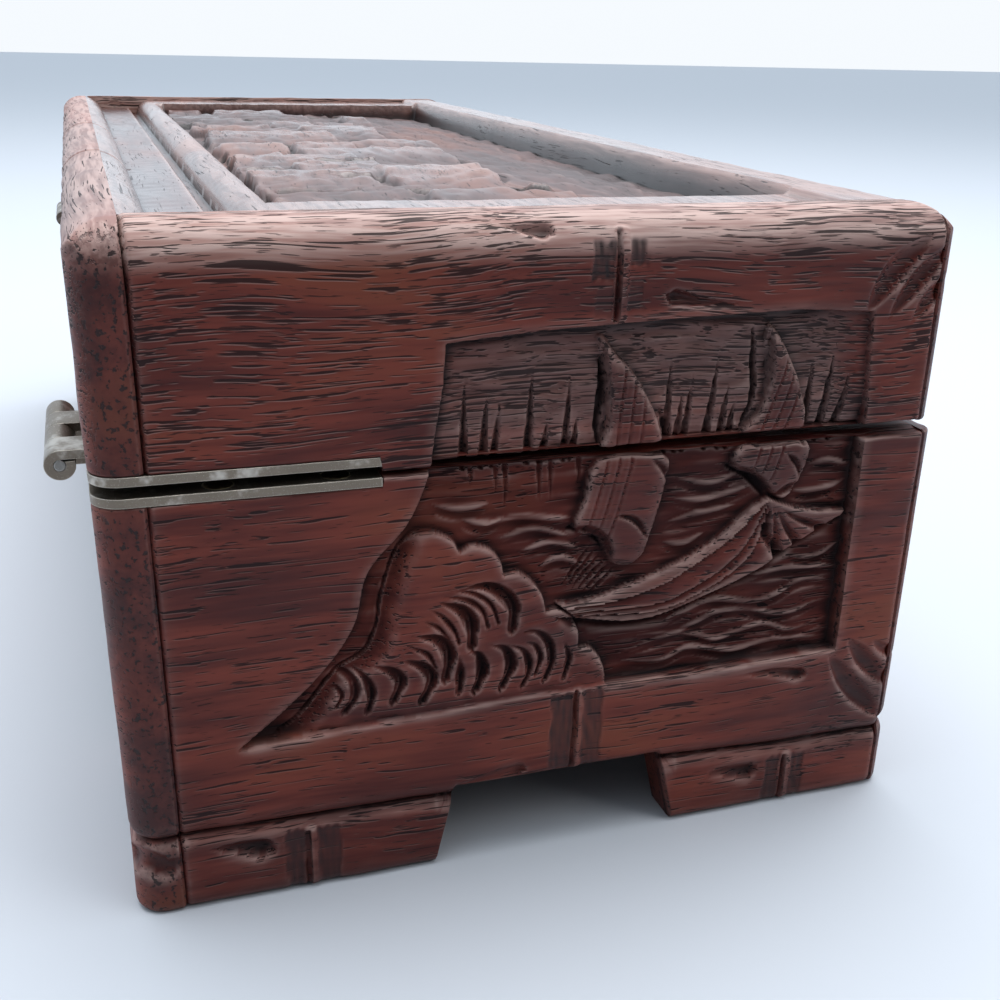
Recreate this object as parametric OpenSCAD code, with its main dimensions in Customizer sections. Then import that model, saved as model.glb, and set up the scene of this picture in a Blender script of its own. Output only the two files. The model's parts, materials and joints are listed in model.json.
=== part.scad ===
// Carved hardwood keepsake box with a lid on two brass corner hinges.
// +X runs along the box, the front is at -Y, and the box stands on z = 0.
// Places on an end face are given as [u, z]: u from the back face forwards, z above the floor.

/* [Case] */
// Length of the box
case_l = 300; // [270:1:340]
// Depth of the body, front to back
case_d = 130; // [120:1:145]
// Height of the body's rim above the floor
rim_h = 66.7; // [62:0.1:80]
// Height of the lid's boards
lid_h = 33.5; // [31:0.5:40]
// Thickness of the front and back boards
board_t = 7; // [6.5:0.5:8]
// Thickness of the end boards
end_t = 8; // [7:0.5:9]
// Thickness of the front boards' lap over the end boards
lap_t = 2.7; // [1.5:0.1:4]
// Radius of the four upright corners
corner_r = 4.3; // [2:0.1:6]
// How far the lid's front lies behind the body's front
lid_setback = 1.2; // [0:0.1:2]

/* [Feet] */
// Height of the plinth that the feet are cut from
plinth_h = 11.6; // [9:0.1:13]
// Height of the cut-out between the feet
arch_h = 13.2; // [10:0.1:13.8]
// Length of a back foot along the end, at the floor
back_foot_l = 46.2; // [38:0.1:50]
// Length of a front foot along the end, at the floor
front_foot_l = 42.3; // [36:0.1:46]
// Length of a foot along the front and back, at the floor
long_foot_l = 54; // [40:1:80]
// How far a foot's inner edge slants over its height
foot_slant = 3.1; // [0:0.1:5]
// Radius of the rounded groove above the plinth
cove_r = 1.4; // [0.8:0.1:2]

/* [Panels] */
// Thickness of the bottom panel
bottom_t = 5; // [4:0.5:7]
// Height of the bottom panel's underside above the floor
bottom_z = 15; // [14:0.5:17]
// Depth of the tongues that enter the boards' grooves
tongue_w = 2.5; // [1.5:0.1:3.2]
// Thickness of the tongues
tongue_t = 2.6; // [2:0.1:3]
// Clearance round a tongue in its groove
tongue_clear = 0.1; // [0.05:0.05:0.2]
// Depth of the panel's carved ground below the lid's crest
ground_drop = 6.8; // [5.5:0.1:8]
// Wood left under the carved ground
panel_web = 4; // [3:0.5:6]

/* [Lid mouldings] */
// Width of the bamboo rail along the back
rail_w = 11.5; // [10:0.5:14]
// Rise of the bamboo rail above the sunken strip
rail_rise = 3.5; // [2:0.1:4.5]
// Width of the sunken strip beside it
strip_w = 8.5; // [6:0.5:12]
// Width of the groove beside the strip
groove_w = 2.6; // [1.5:0.1:4]
// Depth of that groove below the strip
groove_deep = 1.8; // [0.5:0.1:2.5]
// Width of the rounded moulding behind the carving
bead_w = 7.5; // [5:0.5:10]
// Height of that moulding below the crest
bead_drop = 1.3; // [0.5:0.1:2.5]
// Width of the flat band at each end, from the end board to the carving
band_w = 19; // [12:0.5:26]
// Height of the flat bands below the crest
band_drop = 1.2; // [0.4:0.1:2.5]
// Width of the front rail, from the lid's front to the carving
front_rail_w = 17; // [12:0.5:22]
// Radius of the front rail's outer edge
front_edge_r = 7; // [4:0.5:9]
// Radius of the end boards' top edges
end_edge_r = 6; // [3:0.5:7]
// Distance of the first bamboo ring from the left end
ring_x = 95; // [60:1:130]
// Distance between the bamboo rings
ring_pitch = 75; // [40:1:100]
// Depth of the bamboo rings
ring_deep = 0.7; // [0.3:0.1:1]

/* [Carved fields] */
// Depth of the carved fields in the boards
field_deep = 2.6; // [1.5:0.1:3.5]
// Height of the fields' lower border above the floor
field_low_z = 28.4; // [24:0.1:34]
// Width of the rail between the lid's crest and the field
field_top_rail = 15.5; // [12:0.1:18]
// Width of the upright rail at the front of an end's field
field_front_rail = 14.2; // [11:0.1:20]
// Where an end's field meets the seam, from the back face
field_seam_u = 45.2; // [40:0.1:52]
// Where an end's field comes to its pointed tip, from the back face
field_tip_u = 16.8; // [12:0.1:22]
// Width of the rails beside the front's field
front_field_rail = 16; // [12:0.5:30]
// Radius of the gouged grooves of the bamboo rails
gouge_r = 0.9; // [0.4:0.1:1.4]
// Distance of the top rail's bamboo joint from the back face, on the ends
node_u = 72.5; // [60:0.5:90]
// How much further back the lower rail's joint lies
node_shift = 3; // [0:0.5:6]
// Where a back foot's joint lies, as a share of the foot's length
foot_node_share = 0.57; // [0.3:0.01:0.7]
// Distance of the front rails' bamboo joints from the middle
front_node_x = 37.5; // [25:0.5:60]
// Distance below the crest at which the top rails' grooves end
groove_stop = 4; // [3:0.5:6]
// Distance of the upper mitres' ends from the corner
top_mitre_stop = 5; // [3:0.5:7]
// Distance of the lower mitres' ends from the corner
low_mitre_stop = 2; // [1:0.5:5]
// Height of the lower mitres' ends above the plinth
low_mitre_rise = 3; // [2:0.5:6]

/* [Carved pictures] */
// Depth of the pictures' raised forms below the boards' faces
form_deep = 1; // [0.6:0.1:1.6]
// How far the ends' pointed tip reaches below the field's lower border
field_tip_drop = 1.6; // [0:0.1:3]
// How far the curved edge leans forwards from the tip
field_lean_u = 19.6; // [10:0.1:26]
// How far the curved edge has risen where it leans most
field_lean_z = 11; // [6:0.5:16]
// How far the curved edge runs on between the seam and the top
field_edge_run = 3; // [0:0.5:8]
// Place of the front's hills, as a shift towards the middle
front_hill_x = -6; // [-8:1:20]
// Places of the front's two junks, from the left end to each picture's start
front_junk_x = [22, 112]; // [10:1:180]
// Distance of the panel's first row of hills behind the round moulding's front
hill_first = 6; // [4:0.5:12]
// Distance between the panel's rows of hills
hill_pitch = 15; // [11:0.5:18]
// Number of rows
hill_rows = 4; // [2:1:5]
// Height of the hills' crests above the ground
hill_rise = 3.6; // [2:0.1:4.5]
// Slope of the hills towards the front, in degrees
hill_slope = 6; // [2:0.5:9]
// Swing of the crests' long waves
hill_sway = 2.6; // [1:0.1:4]
// Swing of the crests' short waves
hill_ripple = 1.4; // [0.5:0.1:2]

/* [Hinges] */
// Radius of the hinge barrel
barrel_r = 2.12; // [1.8:0.02:2.6]
// Thickness of the hinge sheet
leaf_t = 1.3; // [1:0.05:1.6]
// Distance of the barrel's axis behind the back face
barrel_back = 3.58; // [3:0.02:5]
// Distance of the barrel from the end of the box
barrel_x = 13.65; // [8:0.05:30]
// Length of one knuckle
knuckle_l = 6.62; // [4:0.02:9]
// Number of knuckles
knuckles = 4; // [2:1:6]
// Gap between neighbouring knuckles
knuckle_gap = 0.16; // [0.1:0.02:0.4]
// Radial clearance of the pin in the knuckles
pin_clear = 0.04; // [0.02:0.01:0.08]
// Length of a leaf's arm along the back, past the barrel
leaf_beyond = 3; // [1:0.5:12]
// Length of a leaf's arm along the end
leaf_end_l = 38.5; // [30:0.5:55]
// Width of the leaves' arms
leaf_w = 6; // [5:0.1:6.4]
// Radius of a screw's shank
screw_r = 1; // [0.8:0.05:1.2]
// Radius of a screw's countersunk head
screw_head_r = 2.1; // [1.6:0.05:2.4]
// Length of a screw
screw_l = 10; // [6:0.5:12]
// Clearance of a screw in its hole
screw_clear = 0.05; // [0.02:0.01:0.1]
// Distance of an arm's outermost screw from the arm's end
screw_inset = 6; // [4:0.5:10]
// Distance between the end arm's screws
screw_pitch = 16; // [8:0.5:17]
// Gap below a strap where its rolled sheet ends
roll_gap = 0.3; // [0.1:0.05:0.5]

/* [Hidden] */
$fn = 64;
eps = 0.5;
gouge_over = 1.5;
cutter_lift = 0.12;
bore_r = barrel_r - leaf_t;
pin_r = bore_r - pin_clear;
seam = 2 * bore_r;
axis_z = rim_h + bore_r;
lid_z = rim_h + seam;
crest_z = lid_z + lid_h;
barrel_proud = barrel_back + barrel_r;
case_y = -barrel_proud / 2;
back_y = case_d / 2 + case_y;
front_y = -case_d / 2 + case_y;
left_x = -case_l / 2;
lid_d = case_d - lid_setback;
hinge_l = knuckle_l * knuckles;
leaf_back_l = barrel_x + hinge_l + leaf_beyond;
ground_z = crest_z - ground_drop;
ceiling_z = ground_z - panel_web;
strip_z = crest_z - rail_rise;
bead_z = crest_z - bead_drop;
band_z = crest_z - band_drop;
rail_r = (pow(rail_w / 2, 2) + pow(rail_rise, 2)) / (2 * rail_rise);
bead_r = bead_w / 2;
bead_u = rail_w + strip_w + groove_w;
hill_first_u = bead_u + bead_w + hill_first;
hill_back = hill_pitch + 2 * (hill_sway + hill_ripple);
hill_steps = 26;
sway_turn = 4.3;
sway_shift = 97;
ripple_turn = 11.6;
ripple_shift = 61;
curve_steps = 8;
field_top_z = crest_z - field_top_rail;
field_front_u = case_d - field_front_rail;
cove_z = plinth_h + cove_r;

// A point at share t of the curve from a to c that leans towards b
function curve(a, b, c, t) = a * pow(1 - t, 2) + b * 2 * t * (1 - t) + c * t * t;

// Draws on the left end face: x is u, y is height, z points out of the box
module on_left_end() {
    translate([left_x, back_y, 0]) rotate([90, 0, -90]) children();
}

// Draws on the front face: x runs along the box, y is height, z points out of the box
module on_front(setback = 0) {
    translate([0, front_y + setback, 0]) rotate([90, 0, 0]) children();
}

// Draws on the back face: x runs towards the left end, y is height, z points out of the box
module on_back() {
    translate([0, back_y, 0]) rotate([90, 0, 180]) children();
}

// A block from u0 to u1 across the box, x0 to x1 from its left end and z0 to z1 in height
module slab(x0, x1, u0, u1, z0, z1) {
    translate([left_x + x0, back_y - u1, z0]) cube([x1 - x0, u1 - u0, z1 - z0]);
}

// A rod along the box, centred at u and z
module long_rod(r, u, z, x0 = -eps, x1 = case_l + eps) {
    translate([left_x + x0, back_y - u, z]) rotate([0, 90, 0]) cylinder(r = r, h = x1 - x0);
}

// A straight groove's cutter between two points of the face that it is drawn on, running a little past both
module gouge(a, b) {
    run = b - a;
    translate([a.x, a.y, cutter_lift]) rotate([0, 0, atan2(run.y, run.x)]) rotate([0, 90, 0])
        translate([0, 0, -gouge_over]) cylinder(r = gouge_r, h = norm(run) + 2 * gouge_over, $fn = 24);
}

// Outline of the box in plan, with rounded corners
module plan(depth) {
    translate([0, back_y - depth / 2]) {
        square([case_l, depth - 2 * corner_r], center = true);
        square([case_l - 2 * corner_r, depth], center = true);
        for (sx = [-1, 1], sy = [-1, 1])
            translate([sx * (case_l / 2 - corner_r), sy * (depth / 2 - corner_r)]) circle(corner_r);
    }
}

module body_envelope() {
    linear_extrude(rim_h) plan(case_d);
}

// Outline of the lid as seen from its end: bamboo rail at the back, rounded edge at the front
module lid_section() {
    front_z = crest_z - front_edge_r;
    translate([0, lid_z]) square([lid_d, crest_z - rail_r - lid_z]);
    translate([rail_w / 2, crest_z - rail_r]) circle(rail_r);
    translate([rail_w / 2, lid_z]) square([lid_d - rail_w / 2, front_z - lid_z]);
    translate([rail_w / 2, lid_z]) square([lid_d - rail_w / 2 - front_edge_r, lid_h]);
    translate([lid_d - front_edge_r, front_z]) circle(front_edge_r);
}

// Outline of the lid as seen from its front, with both ends' top edges rounded
module lid_front_section() {
    side_z = crest_z - end_edge_r;
    translate([-case_l / 2, lid_z]) square([case_l, side_z - lid_z]);
    translate([end_edge_r - case_l / 2, lid_z]) square([case_l - 2 * end_edge_r, lid_h]);
    for (side = [-1, 1])
        translate([side * (case_l / 2 - end_edge_r), side_z]) circle(end_edge_r);
}

module lid_envelope() {
    intersection() {
        translate([0, 0, lid_z]) linear_extrude(lid_h) plan(lid_d);
        on_left_end() translate([0, 0, -case_l]) linear_extrude(case_l) lid_section();
        on_front() translate([0, 0, -case_d]) linear_extrude(case_d) lid_front_section();
    }
}

// Cutter for the opening between two feet, drawn on a face, from a to b at the floor
module arch(a, b) {
    translate([0, 0, -end_t - eps]) linear_extrude(end_t + 2 * eps) polygon([
        [a, -eps], [a, 0], [a + foot_slant, arch_h], [b - foot_slant, arch_h], [b, 0], [b, -eps]
    ]);
}

// Cutter for the rounded groove above the plinth, all round the box
module cove() {
    for (u = [-cutter_lift, case_d + cutter_lift]) long_rod(cove_r, u, cove_z);
    for (side = [-1, 1])
        translate([side * (case_l / 2 + cutter_lift), back_y - case_d - eps, cove_z]) rotate([-90, 0, 0])
            cylinder(r = cove_r, h = case_d + 2 * eps);
}

// Outline of the carved field on an end, with its curved edge rising from the pointed tip
module end_field() {
    tip = [field_tip_u, field_low_z - field_tip_drop];
    lean = [field_tip_u + field_lean_u, field_low_z + field_lean_z];
    seam_point = [field_seam_u, lid_z];
    polygon(concat(
        [for (i = [0:curve_steps]) curve(tip, lean, seam_point, i / curve_steps)],
        [[field_seam_u + field_edge_run, field_top_z], [field_front_u, field_top_z], [field_front_u, field_low_z]]
    ));
}

// Outline of the carved field on the front
module front_field() {
    half = case_l / 2 - front_field_rail;
    translate([-half, field_low_z]) square([2 * half, field_top_z - field_low_z]);
}

// Outline of the leafy hill, drawn in u and height
module hill() {
    foot_z = field_low_z - field_tip_drop - eps;
    polygon(concat([[24, foot_z], [30.5, 36], [35.5, 43.5], [38.5, 50.5]],
        [for (i = [0:curve_steps]) curve([41, 55.5], [60, 61], [69.4, 37.4], i / curve_steps)],
        [[73.6, 32.5], [74.2, foot_z]]));
}

// Outline of the junk's hull, a horn that widens from its bow to its stern
module junk_hull() {
    polygon(concat(
        [for (i = [0:curve_steps]) curve([64.4, 43.2], [88, 43], [101.3, 56.8], i / curve_steps)],
        [[107, 54.6], [field_front_u + eps, 53.7], [field_front_u + eps, 51.4]],
        [for (i = [0:curve_steps]) curve([104.6, 47.6], [86, 37.5], [67, 40.6], i / curve_steps)]
    ));
}

// Outlines of the junk's two battened sails, each bellied towards the stern
module sails() {
    polygon(concat([[70.6, 84.6], [72.6, 75], [69.5, 60], [68, 55.4], [72.2, 53.2], [76.9, 48.4]],
        [for (i = [0:curve_steps - 1]) curve([80.6, 53], [87, 71], [70.6, 84.6], i / curve_steps)]));
    polygon(concat([[97.6, 84.6], [98.4, 75], [94.2, 62.8], [101.2, 58.2]],
        [for (i = [0:curve_steps - 1]) curve([103.6, 56.9], [112, 71], [97.6, 84.6], i / curve_steps)]));
}

module junk() {
    junk_hull();
    sails();
}

// Cutter of a field, the first child, that leaves the forms, the second child, standing in it
module field_cutter() {
    difference() {
        translate([0, 0, -field_deep]) linear_extrude(field_deep + eps) children(0);
        translate([0, 0, -field_deep - eps]) linear_extrude(field_deep - form_deep + eps) children(1);
    }
}

// Cutters of the grooves that shape an end's rails as bamboo, with a joint and a mitre at each corner
module end_gouges() {
    low_node_u = node_u - node_shift;
    back_node_u = back_foot_l * foot_node_share;
    front_node_u = case_d - front_foot_l / 2;
    gouge([node_u, field_top_z], [node_u, crest_z - groove_stop]);
    gouge([low_node_u, field_low_z], [low_node_u, arch_h]);
    gouge([back_node_u, 0], [back_node_u, plinth_h]);
    gouge([front_node_u, 0], [front_node_u, plinth_h]);
    gouge([field_front_u, field_top_z], [case_d - top_mitre_stop, crest_z - groove_stop]);
    gouge([field_front_u, field_low_z], [case_d - low_mitre_stop, plinth_h + low_mitre_rise]);
}

// Cutters of the field, its picture and the grooves of an end
module end_carving() {
    on_left_end() {
        field_cutter() {
            end_field();
            union() {
                hill();
                junk();
            }
        }
        end_gouges();
    }
}

module end_arch() {
    on_left_end() arch(back_foot_l, case_d - front_foot_l);
}

// Outlines of the front's forms: a hill at each side and two junks between them
module front_forms() {
    for (side = [0, 1]) mirror([side, 0]) translate([front_hill_x - case_l / 2, 0]) hill();
    for (x = front_junk_x) translate([x - case_l / 2, 0]) junk();
}

// Cutters of the field, its picture and the grooves of the front
module front_carving(setback = 0) {
    half = case_l / 2;
    inner = half - front_field_rail;
    foot_node_x = half - long_foot_l / 2;
    on_front(setback) {
        field_cutter() {
            front_field();
            front_forms();
        }
        for (side = [-1, 1]) {
            gouge([side * inner, field_top_z], [side * (half - top_mitre_stop), crest_z - groove_stop]);
            gouge([side * inner, field_low_z], [side * (half - low_mitre_stop), plinth_h + low_mitre_rise]);
            gouge([side * front_node_x, field_top_z], [side * front_node_x, crest_z - groove_stop]);
            gouge([side * front_node_x, field_low_z], [side * front_node_x, arch_h]);
            gouge([side * foot_node_x, 0], [side * foot_node_x, plinth_h]);
        }
    }
}

// Cutter for the openings between the long sides' feet
module long_arch() {
    half = case_l / 2 - long_foot_l;
    arch(-half, half);
}

// A panel's tongue, or with a clearance the groove that takes it
module tongue(z, depth, clear = 0) {
    slab(end_t - tongue_w - clear, case_l - end_t + tongue_w + clear,
         board_t - tongue_w - clear, depth - board_t + tongue_w + clear,
         z - clear, z + tongue_t + clear);
}

module bottom_tongue(clear = 0) {
    tongue(bottom_z + (bottom_t - tongue_t) / 2, case_d, clear);
}

module top_tongue(clear = 0) {
    tongue(ceiling_z + (panel_web - tongue_t) / 2, lid_d, clear);
}

// Outline of a hinge leaf in plan: an L round the corner of the box
module leaf_outline() {
    intersection() {
        plan(case_d);
        translate([left_x, back_y]) {
            translate([0, -leaf_w]) square([leaf_back_l, leaf_w]);
            translate([0, -leaf_end_l]) square([leaf_w, leaf_end_l]);
        }
    }
}

// Leaf plates as cutters in the rims of the body and the lid, at both ends
module body_leaf_seats() {
    for (end = [0, 1]) mirror([end, 0, 0])
        translate([0, 0, rim_h - leaf_t]) linear_extrude(leaf_t + eps) leaf_outline();
}

module lid_leaf_seats() {
    for (end = [0, 1]) mirror([end, 0, 0])
        translate([0, 0, lid_z - eps]) linear_extrude(leaf_t + eps) leaf_outline();
}

// Puts a screw at each of a left leaf's three places, in plan
module at_screws() {
    arm_mid = leaf_w / 2;
    last_u = leaf_end_l - screw_inset;
    for (p = [[arm_mid, last_u - screw_pitch], [arm_mid, last_u], [leaf_back_l - screw_inset, arm_mid]])
        translate([left_x + p.x, back_y - p.y, 0]) children();
}

// A countersunk screw with its head's face at z = 0, pointing down, or its hole with a clearance
module screw(clear = 0) {
    cone_h = screw_head_r - screw_r;
    lift = clear > 0 ? eps : 0;
    translate([0, 0, -screw_l - clear]) cylinder(r = screw_r + clear, h = screw_l + clear, $fn = 24);
    translate([0, 0, -cone_h])
        cylinder(r1 = screw_r + clear, r2 = screw_head_r + clear + lift, h = cone_h + lift, $fn = 32);
}

// The left body leaf's screws, and the left lid leaf's, which point up
module body_screws(clear = 0) {
    at_screws() translate([0, 0, rim_h]) screw(clear);
}

module lid_screws(clear = 0) {
    at_screws() translate([0, 0, lid_z]) mirror([0, 0, 1]) screw(clear);
}

module both_ends() {
    children();
    mirror([1, 0, 0]) children();
}

module body_cuts() {
    cove();
    bottom_tongue(tongue_clear);
    body_leaf_seats();
    both_ends() body_screws(screw_clear);
}

module lid_cuts() {
    top_tongue(tongue_clear);
    lid_leaf_seats();
    both_ends() lid_screws(screw_clear);
}

// A front board's block: a lap over the end boards, and behind it the board between them
module front_block(depth, z0, z1) {
    slab(0, case_l, depth - lap_t, depth, z0, z1);
    slab(end_t, case_l - end_t, depth - board_t, depth, z0, z1);
}

module body_front_board() {
    color("#6b3a30") difference() {
        intersection() {
            body_envelope();
            front_block(case_d, 0, rim_h);
        }
        body_cuts();
        front_carving();
        on_front() long_arch();
    }
}

module body_back_board() {
    color("#6b3a30") difference() {
        intersection() {
            body_envelope();
            slab(0, case_l, 0, board_t, 0, rim_h);
        }
        body_cuts();
        on_back() long_arch();
    }
}

module body_left_end() {
    color("#734034") difference() {
        intersection() {
            body_envelope();
            slab(0, end_t, board_t, case_d - lap_t, 0, rim_h);
        }
        body_cuts();
        end_carving();
        end_arch();
    }
}

module body_right_end() {
    mirror([1, 0, 0]) body_left_end();
}

module body_bottom_panel() {
    color("#5d3129") {
        slab(end_t, case_l - end_t, board_t, case_d - board_t, bottom_z, bottom_z + bottom_t);
        bottom_tongue();
    }
}

// Cutter that rings the bamboo rail
module rail_rings() {
    for (i = [0, 1])
        translate([left_x + ring_x + i * ring_pitch, back_y - rail_w / 2, crest_z - rail_r])
            rotate([0, 90, 0]) rotate_extrude()
                translate([rail_r, 0]) circle(ring_deep, $fn = 24);
}

module lid_front_board() {
    color("#6b3a30") difference() {
        intersection() {
            lid_envelope();
            front_block(lid_d, lid_z, crest_z);
        }
        lid_cuts();
        front_carving(lid_setback);
    }
}

module lid_back_board() {
    color("#6b3a30") difference() {
        intersection() {
            lid_envelope();
            slab(0, case_l, 0, board_t, lid_z, crest_z);
        }
        lid_cuts();
        rail_rings();
    }
}

module lid_left_end() {
    color("#734034") difference() {
        intersection() {
            lid_envelope();
            slab(0, end_t, board_t, lid_d - lap_t, lid_z, crest_z);
        }
        lid_cuts();
        end_carving();
    }
}

module lid_right_end() {
    mirror([1, 0, 0]) lid_left_end();
}

// How far the crest of a row of hills swings towards the front at x
function crest_swing(row, x) =
    hill_sway * sin(sway_turn * x + sway_shift * row) + hill_ripple * sin(ripple_turn * x + ripple_shift * row);

// A row of the panel's hills: a slab that falls towards the front, with a wavy crest and a wavy foot
module hill_row(row) {
    half = case_l / 2 - end_t - band_w + eps;
    xs = [for (i = [0:hill_steps]) half * (2 * i / hill_steps - 1)];
    translate([0, back_y - hill_first_u - row * hill_pitch, ground_z + hill_rise]) rotate([hill_slope, 0, 0])
        translate([0, 0, -hill_rise - eps]) linear_extrude(hill_rise + eps) polygon(concat(
            [for (x = xs) [x, -crest_swing(row, x)]],
            [for (x = xs) [-x, -hill_back - crest_swing(row + 1, -x)]]
        ));
}

// The carved panel: ground and hills, back strip and rail edge, rounded moulding, end bands and front rail
module lid_top_panel() {
    x0 = end_t;
    x1 = case_l - end_t;
    back_u = board_t;
    front_u = lid_d - board_t;
    color("#7a4538") difference() {
        union() {
            slab(x0, x1, back_u, front_u, ceiling_z, ground_z);
            slab(x0, x1, back_u, rail_w + strip_w, ground_z - eps, strip_z);
            intersection() {
                slab(x0, x1, back_u, rail_w, strip_z - eps, crest_z);
                long_rod(rail_r, rail_w / 2, crest_z - rail_r);
            }
            slab(x0, x1, rail_w, bead_u + eps, ground_z - eps, strip_z - groove_deep);
            long_rod(bead_r, bead_u + bead_r, bead_z - bead_r, x0, x1);
            slab(x0, x1, bead_u, bead_u + bead_w, ground_z - eps, bead_z - bead_r);
            for (x = [x0, x1 - band_w])
                slab(x, x + band_w, bead_u + bead_r, front_u, ground_z - eps, band_z);
            slab(x0, x1, lid_d - front_rail_w, front_u, ground_z - eps, crest_z);
            for (row = [0:hill_rows - 1]) hill_row(row);
            top_tongue();
        }
        rail_rings();
    }
}

// Drawn at the left hinge's barrel: x runs along the barrel from its end nearest the box's end
module at_barrel() {
    translate([left_x + barrel_x, back_y + barrel_back, axis_z]) children();
}

// One leaf of the left hinge: its plate, and knuckles rolled from straps at every other place
module leaf(first) {
    linear_extrude(leaf_t) leaf_outline();
    for (i = [first:2:knuckles - 1]) {
        x0 = i * knuckle_l + knuckle_gap / 2;
        l = knuckle_l - knuckle_gap;
        translate([left_x + barrel_x + x0, back_y + barrel_back, 0]) difference() {
            union() {
                translate([0, 0, leaf_t - barrel_r]) rotate([0, 90, 0]) cylinder(r = barrel_r, h = l);
                translate([0, -barrel_back - eps, 0]) cube([l, barrel_back + eps, leaf_t]);
            }
            translate([-eps, 0, leaf_t - barrel_r]) rotate([0, 90, 0]) cylinder(r = bore_r, h = l + 2 * eps);
            translate([-eps, -barrel_r - eps, -roll_gap]) cube([l + 2 * eps, barrel_r + eps, roll_gap]);
        }
    }
}

module left_hinge_lid_leaf() {
    color("#6f655a") difference() {
        translate([0, 0, lid_z]) leaf(0);
        lid_screws(screw_clear);
    }
}

module left_hinge_body_leaf() {
    color("#6f655a") difference() {
        translate([0, 0, rim_h]) mirror([0, 0, 1]) leaf(1);
        body_screws(screw_clear);
    }
}

module left_hinge_pin() {
    color("#4a4440") at_barrel() rotate([0, 90, 0]) cylinder(r = pin_r, h = hinge_l);
}

module left_hinge_body_screws() {
    color("#8a7a58") body_screws();
}

module left_hinge_lid_screws() {
    color("#8a7a58") lid_screws();
}

module right_hinge_lid_leaf() {
    mirror([1, 0, 0]) left_hinge_lid_leaf();
}

module right_hinge_body_leaf() {
    mirror([1, 0, 0]) left_hinge_body_leaf();
}

module right_hinge_pin() {
    mirror([1, 0, 0]) left_hinge_pin();
}

module right_hinge_body_screws() {
    mirror([1, 0, 0]) left_hinge_body_screws();
}

module right_hinge_lid_screws() {
    mirror([1, 0, 0]) left_hinge_lid_screws();
}

body_front_board();
body_back_board();
body_left_end();
body_right_end();
body_bottom_panel();
lid_front_board();
lid_back_board();
lid_left_end();
lid_right_end();
lid_top_panel();
left_hinge_body_leaf();
left_hinge_lid_leaf();
left_hinge_pin();
left_hinge_body_screws();
left_hinge_lid_screws();
right_hinge_body_leaf();
right_hinge_lid_leaf();
right_hinge_pin();
right_hinge_body_screws();
right_hinge_lid_screws();
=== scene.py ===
# %% [markdown]
# A carved hardwood keepsake box, dressed for its portrait.
#
# The box is five boards below and five above, joined by two brass corner hinges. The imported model
# already holds those pieces at their real size. This lesson gives each board its carved skin: the same
# board, drawn again as one closed surface whose outer face is pressed in where a carver's gouge went.
# Sizes are in millimetres while the wood is worked, and become metres only when a mesh is made.

import json

import bmesh
import bpy
import numpy as np
from mathutils import Matrix, Vector


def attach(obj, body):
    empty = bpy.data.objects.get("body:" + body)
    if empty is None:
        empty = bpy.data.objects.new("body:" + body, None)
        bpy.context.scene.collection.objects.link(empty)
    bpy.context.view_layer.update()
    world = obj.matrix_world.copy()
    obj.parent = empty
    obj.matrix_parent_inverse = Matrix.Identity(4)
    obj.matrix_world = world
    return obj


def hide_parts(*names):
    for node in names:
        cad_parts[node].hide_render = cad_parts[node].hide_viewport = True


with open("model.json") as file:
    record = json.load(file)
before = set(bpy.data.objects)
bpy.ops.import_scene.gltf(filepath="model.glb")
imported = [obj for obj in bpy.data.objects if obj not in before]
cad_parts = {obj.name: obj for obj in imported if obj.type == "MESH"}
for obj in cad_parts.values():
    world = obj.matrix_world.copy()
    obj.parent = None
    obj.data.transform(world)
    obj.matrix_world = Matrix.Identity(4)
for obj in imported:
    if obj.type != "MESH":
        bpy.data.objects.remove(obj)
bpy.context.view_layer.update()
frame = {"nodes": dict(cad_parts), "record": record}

# %% [markdown]
# Places on the box are told in three numbers: x from the left end, u from the back face forwards, and z
# above the table. The boards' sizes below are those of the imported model.

# %% The box's sizes
CASE_L = 300.0
CASE_D = 130.0
LID_D = 128.8
BACK_Y = 62.15
RIM = 66.7
LID_Z = 68.34
CREST = 101.84
BOARD_T = 7.0
END_T = 8.0
LAP = 2.7
CORNER_R = 4.3
LEAF_T = 1.3
LEAF_W = 6.0
LEAF_END_L = 38.5
LEAF_BACK_L = 43.13
ARCH_H = 13.2
FOOT_SLANT = 3.1
FIELD_DEEP = 2.6
RAIL_W = 11.5
RAIL_R = 6.47
RAIL_Z = CREST - RAIL_R
END_EDGE_R = 6.0
FRONT_EDGE_R = 7.0
MM = 0.001


def joined(*parts):
    """Coordinates, each one number or an array, joined into an array of points."""
    return np.stack(np.broadcast_arrays(*parts), axis=-1)


def to_frame(x, u, z):
    """Box places in millimetres become frame places in metres: X from the middle, Y towards the back."""
    return joined((x - CASE_L / 2) * MM, (BACK_Y - u) * MM, z * MM)


# %% [markdown]
# The camera stands close to the box, level with its back corner and a little above the lid, so the near
# end looks tall and the far end shrinks quickly. It is set by where it stands, the point it aims at and a
# small roll. The shift moves the picture on the sensor, because the view's centre lies off the picture's.

# %% Camera
CAMERA_AT = Vector((-0.30843, 0.05854, 0.12353))
CAMERA_AIM = Vector((-0.15, 0.00276, 0.05227))
CAMERA_ROLL = np.radians(1.564)
FOCAL_LENGTH = 44.30
SHIFT = (-0.02264, 0.05794)

camera = bpy.data.objects.new("camera", bpy.data.cameras.new("camera"))
bpy.context.scene.collection.objects.link(camera)
aim = (CAMERA_AIM - CAMERA_AT).to_track_quat("-Z", "Y").to_matrix()
camera.matrix_world = Matrix.Translation(CAMERA_AT) @ (aim @ Matrix.Rotation(CAMERA_ROLL, 3, "Z")).to_4x4()
camera.data.lens = FOCAL_LENGTH
camera.data.sensor_width = 36
camera.data.shift_x, camera.data.shift_y = SHIFT
camera.data.clip_start = 0.01
bpy.context.scene.camera = camera

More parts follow.
